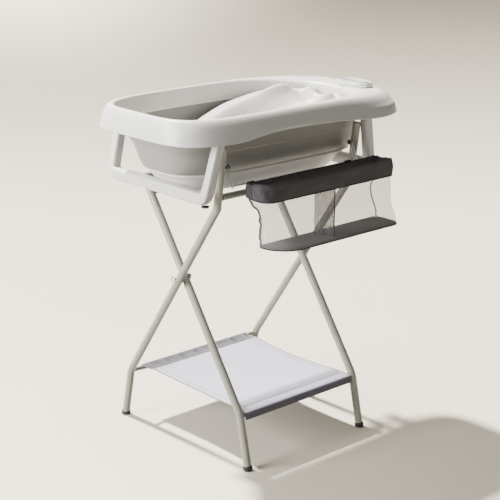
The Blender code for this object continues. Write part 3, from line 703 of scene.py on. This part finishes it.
def base():
    """The tray: a rolled lip under the band, sloped sides and a flat floor."""
    middle = (0.15, 0.15, 0.07, 2.4, 2.4)
    section = [
        (*middle, 0.7508),
        (0.2500, 0.2520, 0.1130, 3.2, 3.6, 0.7508),
        (0.2580, 0.2610, 0.1195, 3.2, 3.7, 0.7520),
        (0.2640, 0.2680, 0.1240, 3.2, 3.8, 0.7562),
        (0.2720, 0.2750, 0.1290, 3.2, 4.0, 0.7660),
        (0.2840, 0.2830, 0.1340, 3.2, 4.3, 0.7800),
        (0.2955, 0.3065, 0.1382, 3.2, 4.6, 0.7915),
        (0.3010, 0.3125, 0.1400, 3.2, 4.7, 0.7955),
        (0.3058, 0.3172, 0.1428, 3.2, 4.9, 0.7972),
        (0.3060, 0.3180, 0.1430, 3.2, 5.0, 0.8016),
        (0.3048, 0.3168, 0.1418, 3.2, 5.0, 0.8023),
        (0.3020, 0.3140, 0.1392, 3.2, 5.0, 0.8021),
        (0.2980, 0.3100, 0.1368, 3.2, 4.8, 0.7985),
        (0.2920, 0.3035, 0.1345, 3.2, 4.6, 0.7925),
        (0.2800, 0.2790, 0.1300, 3.2, 4.3, 0.7805),
        (0.2680, 0.2710, 0.1250, 3.2, 4.0, 0.7670),
        (0.2600, 0.2630, 0.1205, 3.2, 3.8, 0.7590),
        (0.2500, 0.2530, 0.1130, 3.2, 3.6, 0.7568),
        (*middle, FLOOR_Z),
    ]
    tray = loft("tub_tray", [oval_ring(*ring) for ring in section], angle=30.0)
    settle(tray, WHITE, "tub_floor", ["tub_base"])


def shaded_latch_pocket():
    """A small grey block on the near side of the tray, painted shade for the recess of a latch pocket."""
    outline = [(-0.212, 0.7660), (-0.198, 0.7660), (-0.198, 0.7760), (-0.212, 0.7760)]
    vertices = [(x, y, z) for y in (-0.1395, -0.1295) for x, z in outline]
    faces = [(0, 1, 2, 3), (4, 7, 6, 5), (0, 4, 5, 1), (1, 5, 6, 2), (2, 6, 7, 3), (3, 7, 4, 0)]
    made = mesh_object("tub_latch_pocket_shade", vertices, faces)
    bevel = made.modifiers.new("edge", "BEVEL")
    bevel.width = 0.0012
    bevel.segments = 3
    # Its grey rubber colour is painted shade for the recess.
    settle(made, TPE, "tub_floor")


def drain():
    profile = [
        (0.0144, -0.0052),
        (0.0156, 0.0),
        (0.0156, 0.0008),
        (0.0196, 0.0010),
        (0.0204, 0.0018),
        (0.0200, 0.0028),
        (0.0120, 0.0032),
        (0.0062, 0.0044),
        (0.0048, 0.0080),
        (0.0052, 0.0118),
        (0.0040, 0.0132),
        (0.0008, 0.0136),
    ]
    plug = turned("stopper", profile, (DRAIN_X, 0.0, FLOOR_Z), (0, 0, 1), 48)
    settle(plug, TPE, "plug", ["drain_plug"])


def dish_ring(length, width, z):
    points = []
    for i in range(72):
        angle = 2.0 * math.pi * i / 72
        x = DISH.x + width * signed_power(math.cos(angle), 0.85)
        y = DISH.y + length * signed_power(math.sin(angle), 0.85)
        points.append(Vector((x, y, DISH.z + z)))
    return points


def soap_dish():
    rim_rings = [
        dish_ring(0.0590, 0.0320, -0.0062),
        dish_ring(0.0598, 0.0328, -0.0050),
        dish_ring(0.0600, 0.0330, 0.0030),
        dish_ring(0.0597, 0.0327, 0.0078),
        dish_ring(0.0584, 0.0315, 0.0101),
        dish_ring(0.0566, 0.0297, 0.0105),
        dish_ring(0.0548, 0.0280, 0.0099),
        dish_ring(0.0536, 0.0270, 0.0070),
        dish_ring(0.0528, 0.0264, 0.0062),
    ]
    dish = loft("soap_dish_shell", rim_rings, angle=60.0)
    settle(dish, WHITE, "tub", ["soap_dish"])
    tray_rings = [
        dish_ring(0.0495, 0.0240, 0.0066),
        dish_ring(0.0510, 0.0250, 0.0072),
        dish_ring(0.0510, 0.0250, 0.0108),
        dish_ring(0.0496, 0.0238, 0.0123),
        dish_ring(0.0478, 0.0222, 0.0118),
        dish_ring(0.0462, 0.0208, 0.0102),
    ]
    tray = loft("soap_tray_shell", tray_rings, angle=60.0)
    settle(tray, TPE_DARK, "soap_holder", ["soap_tray"])


# ---- Bath insert ----
INSERT_START = -0.165
INSERT_END = 0.312
HOLE_START_X = 0.066
HOLE_PITCH = 0.0165
HOLE_R = 0.0020
LONE_HOLE = (0.236, 0.098)
HOLE_FIELD_WIDTH = 0.15
# Heights of the side flanges and of the seat between them, at stations along X.
FLANGE = (
    (-0.165, 0.846),
    (-0.060, 0.885),
    (0.037, 0.914),
    (0.112, 0.927),
    (0.190, 0.937),
    (0.262, 0.9405),
    (0.312, 0.936),
)
SEAT = (
    (-0.165, 0.775),
    (-0.060, 0.806),
    (0.037, 0.842),
    (0.112, 0.872),
    (0.190, 0.895),
    (0.262, 0.914),
    (0.312, 0.927),
)
# Half the width at stations along X.
WIDTH = (
    (-0.165, 0.108),
    (-0.120, 0.125),
    (-0.060, 0.139),
    (0.037, 0.151),
    (0.112, 0.155),
    (0.190, 0.150),
    (0.262, 0.125),
    (0.312, 0.070),
)


def along_curve(table, x):
    """A smooth curve through the stations of a table."""
    if x <= table[0][0]:
        return table[0][1]
    for i in range(len(table) - 1):
        x0, v0 = table[i]
        x1, v1 = table[i + 1]
        if x > x1:
            continue
        before = table[max(i - 1, 0)]
        after = table[min(i + 2, len(table) - 1)]
        s0 = (v1 - before[1]) / (x1 - before[0])
        s1 = (after[1] - v0) / (after[0] - x0)
        t = (x - x0) / (x1 - x0)
        d = x1 - x0
        return (
            (2 * t**3 - 3 * t**2 + 1) * v0
            + (t**3 - 2 * t**2 + t) * d * s0
            + (-2 * t**3 + 3 * t**2) * v1
            + (t**3 - t**2) * d * s1
        )
    return table[-1][1]


def insert_height(x, v):
    """A hollow seat inside broad flanges, with a raised shoulder at each side, a dip and a curled end."""
    flange = along_curve(FLANGE, x)
    seat = along_curve(SEAT, x)
    off = abs(v)
    z = seat + (flange - seat) * smooth(off, 0.28, 0.70)
    reach = 0.075 if x < 0.232 else 0.024
    shoulder = math.exp(-(((x - 0.232) / reach) ** 2))
    z += (0.003 * smooth(x, -0.10, 0.05) + 0.017 * shoulder) * math.exp(-(((off - 0.70) / 0.095) ** 2))
    z -= 0.010 * math.exp(-(((x - 0.272) / 0.015) ** 2)) * (1.0 - smooth(off, 0.70, 0.92))
    z += 0.007 * math.exp(-(((x - 0.299) / 0.010) ** 2)) * (1.0 - smooth(off, 0.60, 0.95))
    return min(z, 0.9572)


def insert_surface():
    """The insert as one open surface, with its edges turned down a little."""
    data = bpy.data.meshes.new("bath_seat")
    work = bmesh.new()
    bmesh.ops.create_grid(work, x_segments=132, y_segments=84, size=1.0)
    for vertex in work.verts:
        along = 0.5 * (vertex.co.x + 1.0)
        v = vertex.co.y
        x = INSERT_START + along * (INSERT_END - INSERT_START)
        edge = 0.004 * smooth(abs(v), 0.955, 1.0) + 0.003 * smooth(abs(2.0 * along - 1.0), 0.975, 1.0)
        vertex.co = (x, along_curve(WIDTH, x) * v, insert_height(x, v) - edge)
    work.to_mesh(data)
    work.free()
    data.shade_smooth()
    return add_object("bath_seat", data)


def insert_drills():
    """A collection of upright pins where the holes go."""
    holes = [(HOLE_START_X + HOLE_PITCH * i, HOLE_PITCH * j) for i in range(9) for j in range(-5, 6)]
    holes.append(LONE_HOLE)
    drills = bpy.data.collections.new("drills")
    for i, (x, y) in enumerate(holes):
        place = (x, y, insert_height(x, y / HOLE_FIELD_WIDTH))
        drill = turned(f"drill_{i}", [(HOLE_R, -0.04), (HOLE_R, 0.04)], place, (0, 0, 1), 12)
        bpy.context.scene.collection.objects.unlink(drill)
        drills.objects.link(drill)
    return drills


def bath_insert():
    """The thickened surface with its holes cut through, kept as one plain mesh."""
    seat = insert_surface()
    thick = seat.modifiers.new("thickness", "SOLIDIFY")
    thick.thickness = 0.0032
    thick.offset = -1.0
    drills = insert_drills()
    cut = seat.modifiers.new("holes", "BOOLEAN")
    cut.operand_type = "COLLECTION"
    cut.collection = drills
    cut.solver = "EXACT"
    graph = bpy.context.evaluated_depsgraph_get()
    finished = bpy.data.meshes.new_from_object(seat.evaluated_get(graph))
    seat.modifiers.clear()
    seat.data = finished
    for drill in list(drills.objects):
        bpy.data.objects.remove(drill, do_unlink=True)
    bpy.data.collections.remove(drills)
    finished.set_sharp_from_angle(angle=math.radians(45.0))
    settle(seat, WHITE, "insert", ["bath_insert"])


# ---- Organizer ----
def rounded_outline(left, right, back, front, corner_radii, per_corner=14, per_side=16):
    """A rectangle with a radius per corner: front left, front right, back right, back left."""
    corners = ((left, front, 180), (right, front, 270), (right, back, 0), (left, back, 90))
    arcs = []
    for (cx, cy, start), radius in zip(corners, corner_radii):
        mx = cx + radius if cx == left else cx - radius
        my = cy + radius if cy == front else cy - radius
        angles = [math.radians(start + 90.0 * k / (per_corner - 1)) for k in range(per_corner)]
        arcs.append([Vector((mx + radius * math.cos(a), my + radius * math.sin(a), 0.0)) for a in angles])
    points = []
    for arc, following in zip(arcs, arcs[1:] + arcs[:1]):
        points += arc
        for k in range(1, per_side):
            points.append(arc[-1].lerp(following[0], k / per_side))
    return points


def band_top(y):
    return 0.792 + (ORG_BACK - y) * 0.06


def band_bottom(y):
    return 0.758 + (y - ORG_BACK) * 0.12


COLLAR_RADII = (0.042, 0.016, 0.012, 0.014)


def outward(points):
    """The level unit normal at each point of a closed outline that runs counter-clockwise."""
    result = []
    for i in range(len(points)):
        along = points[(i + 1) % len(points)] - points[i - 1]
        result.append(Vector((along.y, -along.x, 0.0)).normalized())
    return result


def lip_wobble(i):
    """How the collar's upper lip rises and dips round the outline."""
    return wave_noise((0.0014, i * 0.21 + 0.6), (0.0011, i * 0.57))


def collar_ring(outline, normals, inset, level):
    """The collar's surface at one inset, from level 0 at its lower lip to level 1 at its upper lip."""
    ring = []
    soft = math.sin(math.pi * level)
    for i, (point, normal) in enumerate(zip(outline, normals)):
        low = band_bottom(point.y) + 0.0015
        high = band_top(point.y) - 0.0010
        fine = (0.0010, i * 1.7 - level * 9.0)
        crease = wave_noise((0.0016, i * 0.43), (0.0014, i * 0.91 + level * 5.0), fine)
        place = point + normal * (1.2 * min(inset, 0.0) + crease * soft - 0.0006)
        place.z = low + (high - low) * level + lip_wobble(i) * level
        ring.append(place)
    return ring


def collar():
    """The padded cloth collar: soft creased faces between two bindings."""
    outline = rounded_outline(ORG_LEFT, ORG_RIGHT, ORG_BACK, ORG_FRONT, COLLAR_RADII)
    normals = outward(outline)
    section = (
        (0.0012, 0.00),
        (-0.0004, 0.10),
        (-0.0002, 0.30),
        (0.0000, 0.50),
        (-0.0006, 0.72),
        (-0.0010, 0.90),
        (-0.0030, 1.00),
        (-0.0068, 1.00),
        (-0.0092, 0.92),
        (-0.0102, 0.70),
        (-0.0104, 0.45),
        (-0.0100, 0.20),
        (-0.0085, 0.02),
    )
    rings = [collar_ring(outline, normals, inset, level) for inset, level in section]
    made = loft("collar_pad", rings, closed=True, angle=80.0)
    settle(made, COLLAR_CLOTH, "organizer", ["organizer_band"], levels=1)
    for label, height, rise, wobbles, inset, radius in (
        ("top", band_top, -0.0008, 1.0, -0.0052, 0.0019),
        ("bottom", band_bottom, 0.0014, 0.0, -0.0020, 0.0021),
    ):
        path = []
        for i, (point, normal) in enumerate(zip(outline, normals)):
            place = point + normal * inset
            place.z = height(point.y) + rise + lip_wobble(i) * wobbles
            path.append(place)
        line = wire(f"collar_binding_{label}", path, radius, cyclic=True, around=4)
        settle(line, BINDING, "organizer")


def bag_outline(level):
    """The walls' outline from level 0 at the collar to level 1 at the floor, where it lies further right."""
    swing = smooth(level, 0.0, 0.50)
    left = ORG_LEFT + 0.008 + 0.046 * swing
    right = ORG_RIGHT - 0.006 + 0.026 * smooth(level, 0.45, 1.0)
    back = ORG_BACK - 0.005 + 0.012 * swing
    front = ORG_FRONT + 0.005 - 0.016 * swing
    big = 0.036 + 0.044 * swing
    small = 0.010 + 0.010 * swing
    return rounded_outline(left, right, back, front, (big, small + 0.012 * swing, small, small))


def wall_height(y, level):
    mouth = band_bottom(y) + 0.004
    return mouth + (BAG_FLOOR_Z + 0.004 - mouth) * level


def bag_walls():
    rings = []
    for k in range(15):
        level = k / 14
        belly = math.sin(math.pi * level)
        ring = []
        for i, point in enumerate(bag_outline(level)):
            sag = wave_noise((0.0012, i * 0.33 + level * 4.0), (0.0008, i * 0.75 - level * 3.0)) * belly
            ring.append(Vector((point.x, point.y + sag, wall_height(point.y, level))))
        rings.append(ring)
    walls = loft("bag_mesh", rings, capped=False, angle=80.0)
    settle(walls, MESH, "organizer", ["organizer_bag"])


def bag_floor():
    """A thin padded panel with a bound edge."""
    line = bag_outline(1.0)
    centre = sum(line, Vector()) / len(line)
    section = (
        (0.30, 0.0005),
        (0.75, 0.0),
        (0.97, 0.0006),
        (1.0, 0.0022),
        (0.985, 0.0038),
        (0.75, 0.0048),
        (0.30, 0.0050),
    )
    rings = []
    for scale, z in section:
        rings.append([centre.lerp(point, scale) + Vector((0, 0, BAG_FLOOR_Z - 0.0008 + z)) for point in line])
    panel = loft("bag_floor", rings, angle=60.0)
    settle(panel, PANEL_CLOTH, "organizer")
    edge = [point + Vector((0, 0, BAG_FLOOR_Z + 0.0018)) for point in line]
    binding = wire("bag_floor_binding", edge, 0.0019, cyclic=True, around=4)
    settle(binding, BINDING, "organizer")


def bag_seams():
    """Seams down the two back corners of the walls: the left one thick and uneven, the right one fine."""
    for side, sign, radius, cloth, uneven in (
        ("left", -1, 0.0030, BINDING, 1.0),
        ("right", 1, 0.0018, PANEL_CLOTH, 0.0),
    ):
        path = []
        for k in range(25):
            level = k / 24
            corner = max(bag_outline(level), key=lambda p: sign * p.x + p.y)
            wobble = uneven * wave_noise((0.0016, k * 0.9), (0.0012, k * 1.7 + 1.0))
            path.append(Vector((corner.x + wobble, corner.y, wall_height(corner.y, level))))
        settle(wire(f"bag_seam_{side}", path, radius, around=4), cloth, "organizer")


def divider():
    """A cloth wall across the bag, bound down its front edge, that bellies slightly."""
    rows, columns = 26, 16
    vertices = []
    for r in range(rows + 1):
        for c in range(columns + 1):
            t = c / columns
            z = 0.612 + 0.136 * r / rows
            y = (ORG_FRONT + 0.011) * t + (ORG_BACK - 0.012) * (1.0 - t)
            belly = 0.0035 * math.sin(math.pi * r / rows) * math.sin(math.pi * t)
            ripple = wave_noise((0.0007, r * 0.6), (0.0006, c * 0.9))
            vertices.append((0.0480 + 0.020 * t + belly + ripple, y, z))
    made = mesh_object("bag_divider", vertices, grid_faces(rows, columns), 80.0)
    settle(made, DENSE_MESH, "organizer", ["organizer_divider"])
    edge = [Vector(vertices[r * (columns + 1) + columns]) for r in range(rows + 1)]
    binding = wire("bag_divider_binding", edge, 0.0018, around=4)
    settle(binding, BINDING, "organizer")


def hang_link(sign):
    """A long closed wire loop from a peg down to the cross wire."""
    side = side_name(sign)
    turn_r = 0.0051
    top = Vector((sign * 0.2255, PEG_Y, PEG_Z))
    low = Vector((sign * 0.2255, HANG_Y, HANG_Z))
    along = (low - top).normalized()
    across = Vector((0.0, -along.z, along.y))
    arc = [math.pi * k / 16 for k in range(17)]
    loop = [top + across * (turn_r * math.cos(a)) - along * (turn_r * math.sin(a)) for a in arc]
    loop += [low - across * (turn_r * math.cos(a)) + along * (turn_r * math.sin(a)) for a in arc]
    made = wire(f"hang_loop_{side}", loop, 0.0015, cyclic=True)
    settle(made, STEEL, "organizer", [f"link_{side}"])


def webbing(side, x):
    """A tab of webbing folded over the cross wire."""
    arc = [math.radians(200.0 - 16.0 * k) for k in range(15)]
    section = [(HANG_Y + 0.0040 * math.cos(a), HANG_Z + 0.0040 * math.sin(a)) for a in arc]
    section += [(HANG_Y + 0.0024 * math.cos(a), HANG_Z + 0.0024 * math.sin(a)) for a in reversed(arc)]
    section += [(HANG_Y - 0.0044, HANG_Z - 0.010), (HANG_Y - 0.0066, HANG_Z - 0.010)]
    rings = [[Vector((x + 0.011 * t, y, z)) for y, z in section] for t in (-1.0, -0.9, 0.0, 0.9, 1.0)]
    tab = loft(f"webbing_{side}", rings, angle=50.0)
    settle(tab, BINDING, "organizer", [f"hang_tab_{side}"])


def hanger():
    """The cross wire, its two links and the two tabs that hold the organizer."""
    bar = level_bar("hang_bar", 0.230, HANG_Y, HANG_Z, 0.0018)
    settle(bar, STEEL, "organizer", ["organizer_wire"])
    for sign in (-1, 1):
        hang_link(sign)
    for side, x in (("left", -0.165), ("right", 0.190)):
        webbing(side, x)


# ---- Shelf ----
SHELF_X = 0.2025
SHELF_COLUMNS = 64
SHELF_ROW = SHELF_COLUMNS + 1
HELD_Y = 0.172
CLOTH_R = ROD_R + 0.0020


def shelf_profile():
    """The cloth's path in Y and Z: up the front hem, over both rods and down the back hem."""
    front = [(-ROD_Y - CLOTH_R - 0.0002, 0.1350 + 0.0015 * k) for k in range(8)]
    over = []
    for k in range(9):
        a = math.radians(180.0 - 90.0 * k / 8)
        over.append((-ROD_Y + CLOTH_R * math.cos(a), ROD_Z + CLOTH_R * math.sin(a)))
    flat = [(-ROD_Y + 2.0 * ROD_Y * k / 72, ROD_Z + CLOTH_R) for k in range(1, 72)]
    back = [(-y, z) for y, z in reversed(front + over)]
    return front + over + flat + back


def simulate_sag(cloth, pinned):
    """Lets the middle of the cloth hang between its rods, and keeps the settled shape."""
    group = cloth.vertex_groups.new(name="pin")
    group.add(pinned, 1.0, "REPLACE")
    cloth.modifiers.new("hang", "CLOTH")
    settings = cloth.modifiers["hang"].settings
    settings.quality = 6
    settings.mass = 0.05
    settings.tension_stiffness = 240.0
    settings.compression_stiffness = 120.0
    settings.shear_stiffness = 40.0
    settings.bending_stiffness = 1.2
    settings.air_damping = 4.0
    settings.vertex_group_mass = "pin"
    scene = bpy.context.scene
    for step in range(1, 19):
        scene.frame_set(step)
    graph = bpy.context.evaluated_depsgraph_get()
    settled = bpy.data.meshes.new_from_object(cloth.evaluated_get(graph))
    cloth.modifiers.clear()
    cloth.data = settled
    scene.frame_set(1)
    cloth.vertex_groups.clear()


def shelf_cloth(profile):
    """The sheet, narrower in the middle and gathered near the back rod, hung between its held ends."""
    vertices = []
    for y, z in profile:
        waist = 0.010 * math.cos(0.5 * math.pi * min(1.0, abs(y) / ROD_Y))
        gather = smooth(y, 0.178, 0.198) * (1.0 - smooth(y, 0.214, 0.227))
        for c in range(SHELF_ROW):
            t = 2.0 * c / SHELF_COLUMNS - 1.0
            lift = gather * (wave_noise((0.0030, c * 0.78), (0.0022, c * 1.37 + 0.4)) - 0.0042)
            vertices.append((t * (SHELF_X - waist - 0.0006), y, z + lift))
    made = mesh_object("shelf_sheet", vertices, grid_faces(len(profile) - 1, SHELF_COLUMNS), 80.0)
    held = [i for i, (x, y, z) in enumerate(vertices) if abs(y) > HELD_Y]
    simulate_sag(made, held)
    return made


def shelf_lines(cloth, profile):
    """Paths for the seams, which lie on the cloth, and for its two side edges."""
    top = cloth.data.vertices
    rows = [r for r, (y, z) in enumerate(profile) if abs(y) < ROD_Y - 0.001]
    raised = Vector((0, 0, 0.0009))
    seams = []
    places = (("front", -0.205), ("front_second", -0.198), ("back", 0.176), ("back_second", 0.183))
    for label, y_seam in places:
        row = min(rows, key=lambda r: abs(profile[r][0] - y_seam))
        seams.append((label, [top[row * SHELF_ROW + c].co + raised for c in range(2, SHELF_ROW - 2)]))
    for label, column in (("left", 3), ("right", SHELF_ROW - 4)):
        seams.append((label, [top[r * SHELF_ROW + column].co + raised for r in rows]))
    edges = []
    for label, column in (("left", 0), ("right", SHELF_ROW - 1)):
        edges.append((label, [top[r * SHELF_ROW + column].co.copy() for r in rows]))
    return seams, edges


def bend_with_legs(obj):
    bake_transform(obj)


def shelf():
    """A stretched cloth with a front hem, a gathered back sleeve, stitched seams and turned side edges."""
    profile = shelf_profile()
    made = shelf_cloth(profile)
    seams, edges = shelf_lines(made, profile)
    thick = made.modifiers.new("cloth", "SOLIDIFY")
    thick.thickness = 0.0011
    settle(made, SHELF_CLOTH, None, ["shelf"])
    made.data.materials.append(SHADED_HEM_CLOTH)
    made.data.materials.append(SHADED_SLEEVE_CLOTH)
    # Painted shade: the front hem takes the darker hem copy of the cloth and the back sleeve the darkest
    # copy.
    for face in made.data.polygons:
        if face.center.y < -ROD_Y - 0.001 and face.center.z < ROD_Z + 0.007:
            face.material_index = 1
        elif face.center.y > 0.1805:
            face.material_index = 2
    bend_with_legs(made)
    for label, path in seams:
        thread = as_mesh(wire(f"shelf_stitch_{label}", path, 0.0005, around=1))
        settle(thread, THREAD, None)
        bend_with_legs(thread)
    for label, path in edges:
        fold = as_mesh(wire(f"shelf_edge_{label}", path, 0.0017, around=3))
        settle(fold, SHADED_HEM_CLOTH, None)
        bend_with_legs(fold)


def as_mesh(curve_object):
    """A mesh object in place of a curve."""
    name = curve_object.name
    graph = bpy.context.evaluated_depsgraph_get()
    data = bpy.data.meshes.new_from_object(curve_object.evaluated_get(graph))
    bpy.data.objects.remove(curve_object, do_unlink=True)
    return add_object(name, data)


# ---- Stage ----
CAMERA_PLACE = SHIFT + Vector((-2.3841, -2.7467, 1.6475))
CAMERA_AIM = Vector((0.6292, 0.7188, -0.2957))
SUN_DIRECTION = Vector((0.06, -0.62, -1.0))
WALL_DISTANCE = 3.6


def stage_material():
    """Matt studio paper: pale and warm on the floor, with painted shade that darkens it up the curve and the
    wall.
    """
    g = Graph("studio_paper_shaded_up_wall")
    height = g.add("ShaderNodeSeparateXYZ")
    g.join(g.coords, height.inputs[0])
    cloud = g.math("MULTIPLY", g.noise(1.3, 3.0), 0.12)
    # The colour darkens with height: painted shade up the curve and the wall, where less light falls.
    level = g.math("ADD", g.math("MULTIPLY", height.outputs["Z"], 0.62), cloud)
    floor = (0.03, (0.67, 0.620, 0.520))
    curve = (0.55, (0.50, 0.455, 0.370))
    wall = (1.0, (0.40, 0.355, 0.280))
    grain = g.bump(g.noise(180.0, 4.0), 0.03, 0.002)
    return g.finish(g.ramp(level, floor, curve, wall), grain, Roughness=0.75)


def backdrop():
    """A seamless sheet: floor that curves up into a wall far behind the object, square to the camera."""
    forward = Vector((CAMERA_AIM.x, CAMERA_AIM.y, 0.0)).normalized()
    right = Vector((forward.y, -forward.x, 0.0))
    radius = 1.6
    start = WALL_DISTANCE - radius
    profile = [(-7.0, 0.0), (-3.0, 0.0), (0.0, 0.0), (start, 0.0)]
    for k in range(1, 17):
        a = math.radians(90.0 * k / 16)
        profile.append((start + radius * math.sin(a), radius - radius * math.cos(a)))
    profile.append((WALL_DISTANCE, 7.0))
    vertices = []
    for d, z in profile:
        middle = forward * d + Vector((0, 0, z))
        vertices += [middle + right * (12.0 * t) for t in (-1.0, -0.5, 0.0, 0.5, 1.0)]
    sheet = mesh_object("studio_sheet", vertices, grid_faces(len(profile) - 1, 4), 80.0)
    sheet.data.materials.append(stage_material())
    sheet.visible_shadow = False
    sheet.visible_diffuse = False
    return forward, right


def look_along(obj, place, direction):
    obj.location = place
    obj.rotation_mode = "QUATERNION"
    obj.rotation_quaternion = direction.to_track_quat("-Z", "Y")


def lamp(name, kind, place, aim, energy, colour, **values):
    data = bpy.data.lights.new(name, kind)
    data.energy = energy
    data.color = colour
    for key, value in values.items():
        setattr(data, key, value)
    look_along(add_object(name, data), place, aim - place)


def lights(forward, right):
    """A strong sun from behind the object, a wide lamp at the left, a wash over the wall and a weak sky."""
    centre = Vector((0.0, 0.0, 0.4))
    sun = centre - SUN_DIRECTION.normalized() * 5.0
    lamp("sun", "SUN", sun, centre, 16.0, (1.0, 0.960, 0.89), angle=math.radians(3.5))
    left = centre + Vector((-3.0, 0.7, 1.1))
    lamp("side_window", "AREA", left, centre, 240.0, (1.0, 0.985, 0.95), shape="SQUARE", size=1.6)
    wash = forward * 1.2 - right * 2.0 + Vector((0, 0, 2.4))
    wall = forward * WALL_DISTANCE - right * 1.25 + Vector((0, 0, 1.9))
    spread = {"spot_size": math.radians(62), "spot_blend": 1.0, "shadow_soft_size": 0.4}
    lamp("wall_wash", "SPOT", wash, wall, 5200.0, (1.0, 0.97, 0.92), **spread)
    world = bpy.data.worlds.new("studio")
    world.use_nodes = True
    sky = world.node_tree.nodes["Background"]
    sky.inputs["Color"].default_value = (1.0, 0.945, 0.865, 1.0)
    sky.inputs["Strength"].default_value = 0.34
    bpy.context.scene.world = world


def camera():
    data = bpy.data.cameras.new("camera")
    data.lens = 96.4
    data.sensor_width = 36.0
    made = add_object("camera", data)
    look_along(made, CAMERA_PLACE, CAMERA_AIM)
    bpy.context.scene.camera = made


def main():
    camera()
    legs()
    bars()
    cradle()
    rim()
    band()
    base()
    shaded_latch_pocket()
    drain()
    soap_dish()
    bath_insert()
    collar()
    bag_walls()
    bag_floor()
    bag_seams()
    divider()
    hanger()
    shelf()
    forward, right = backdrop()
    lights(forward, right)


main()
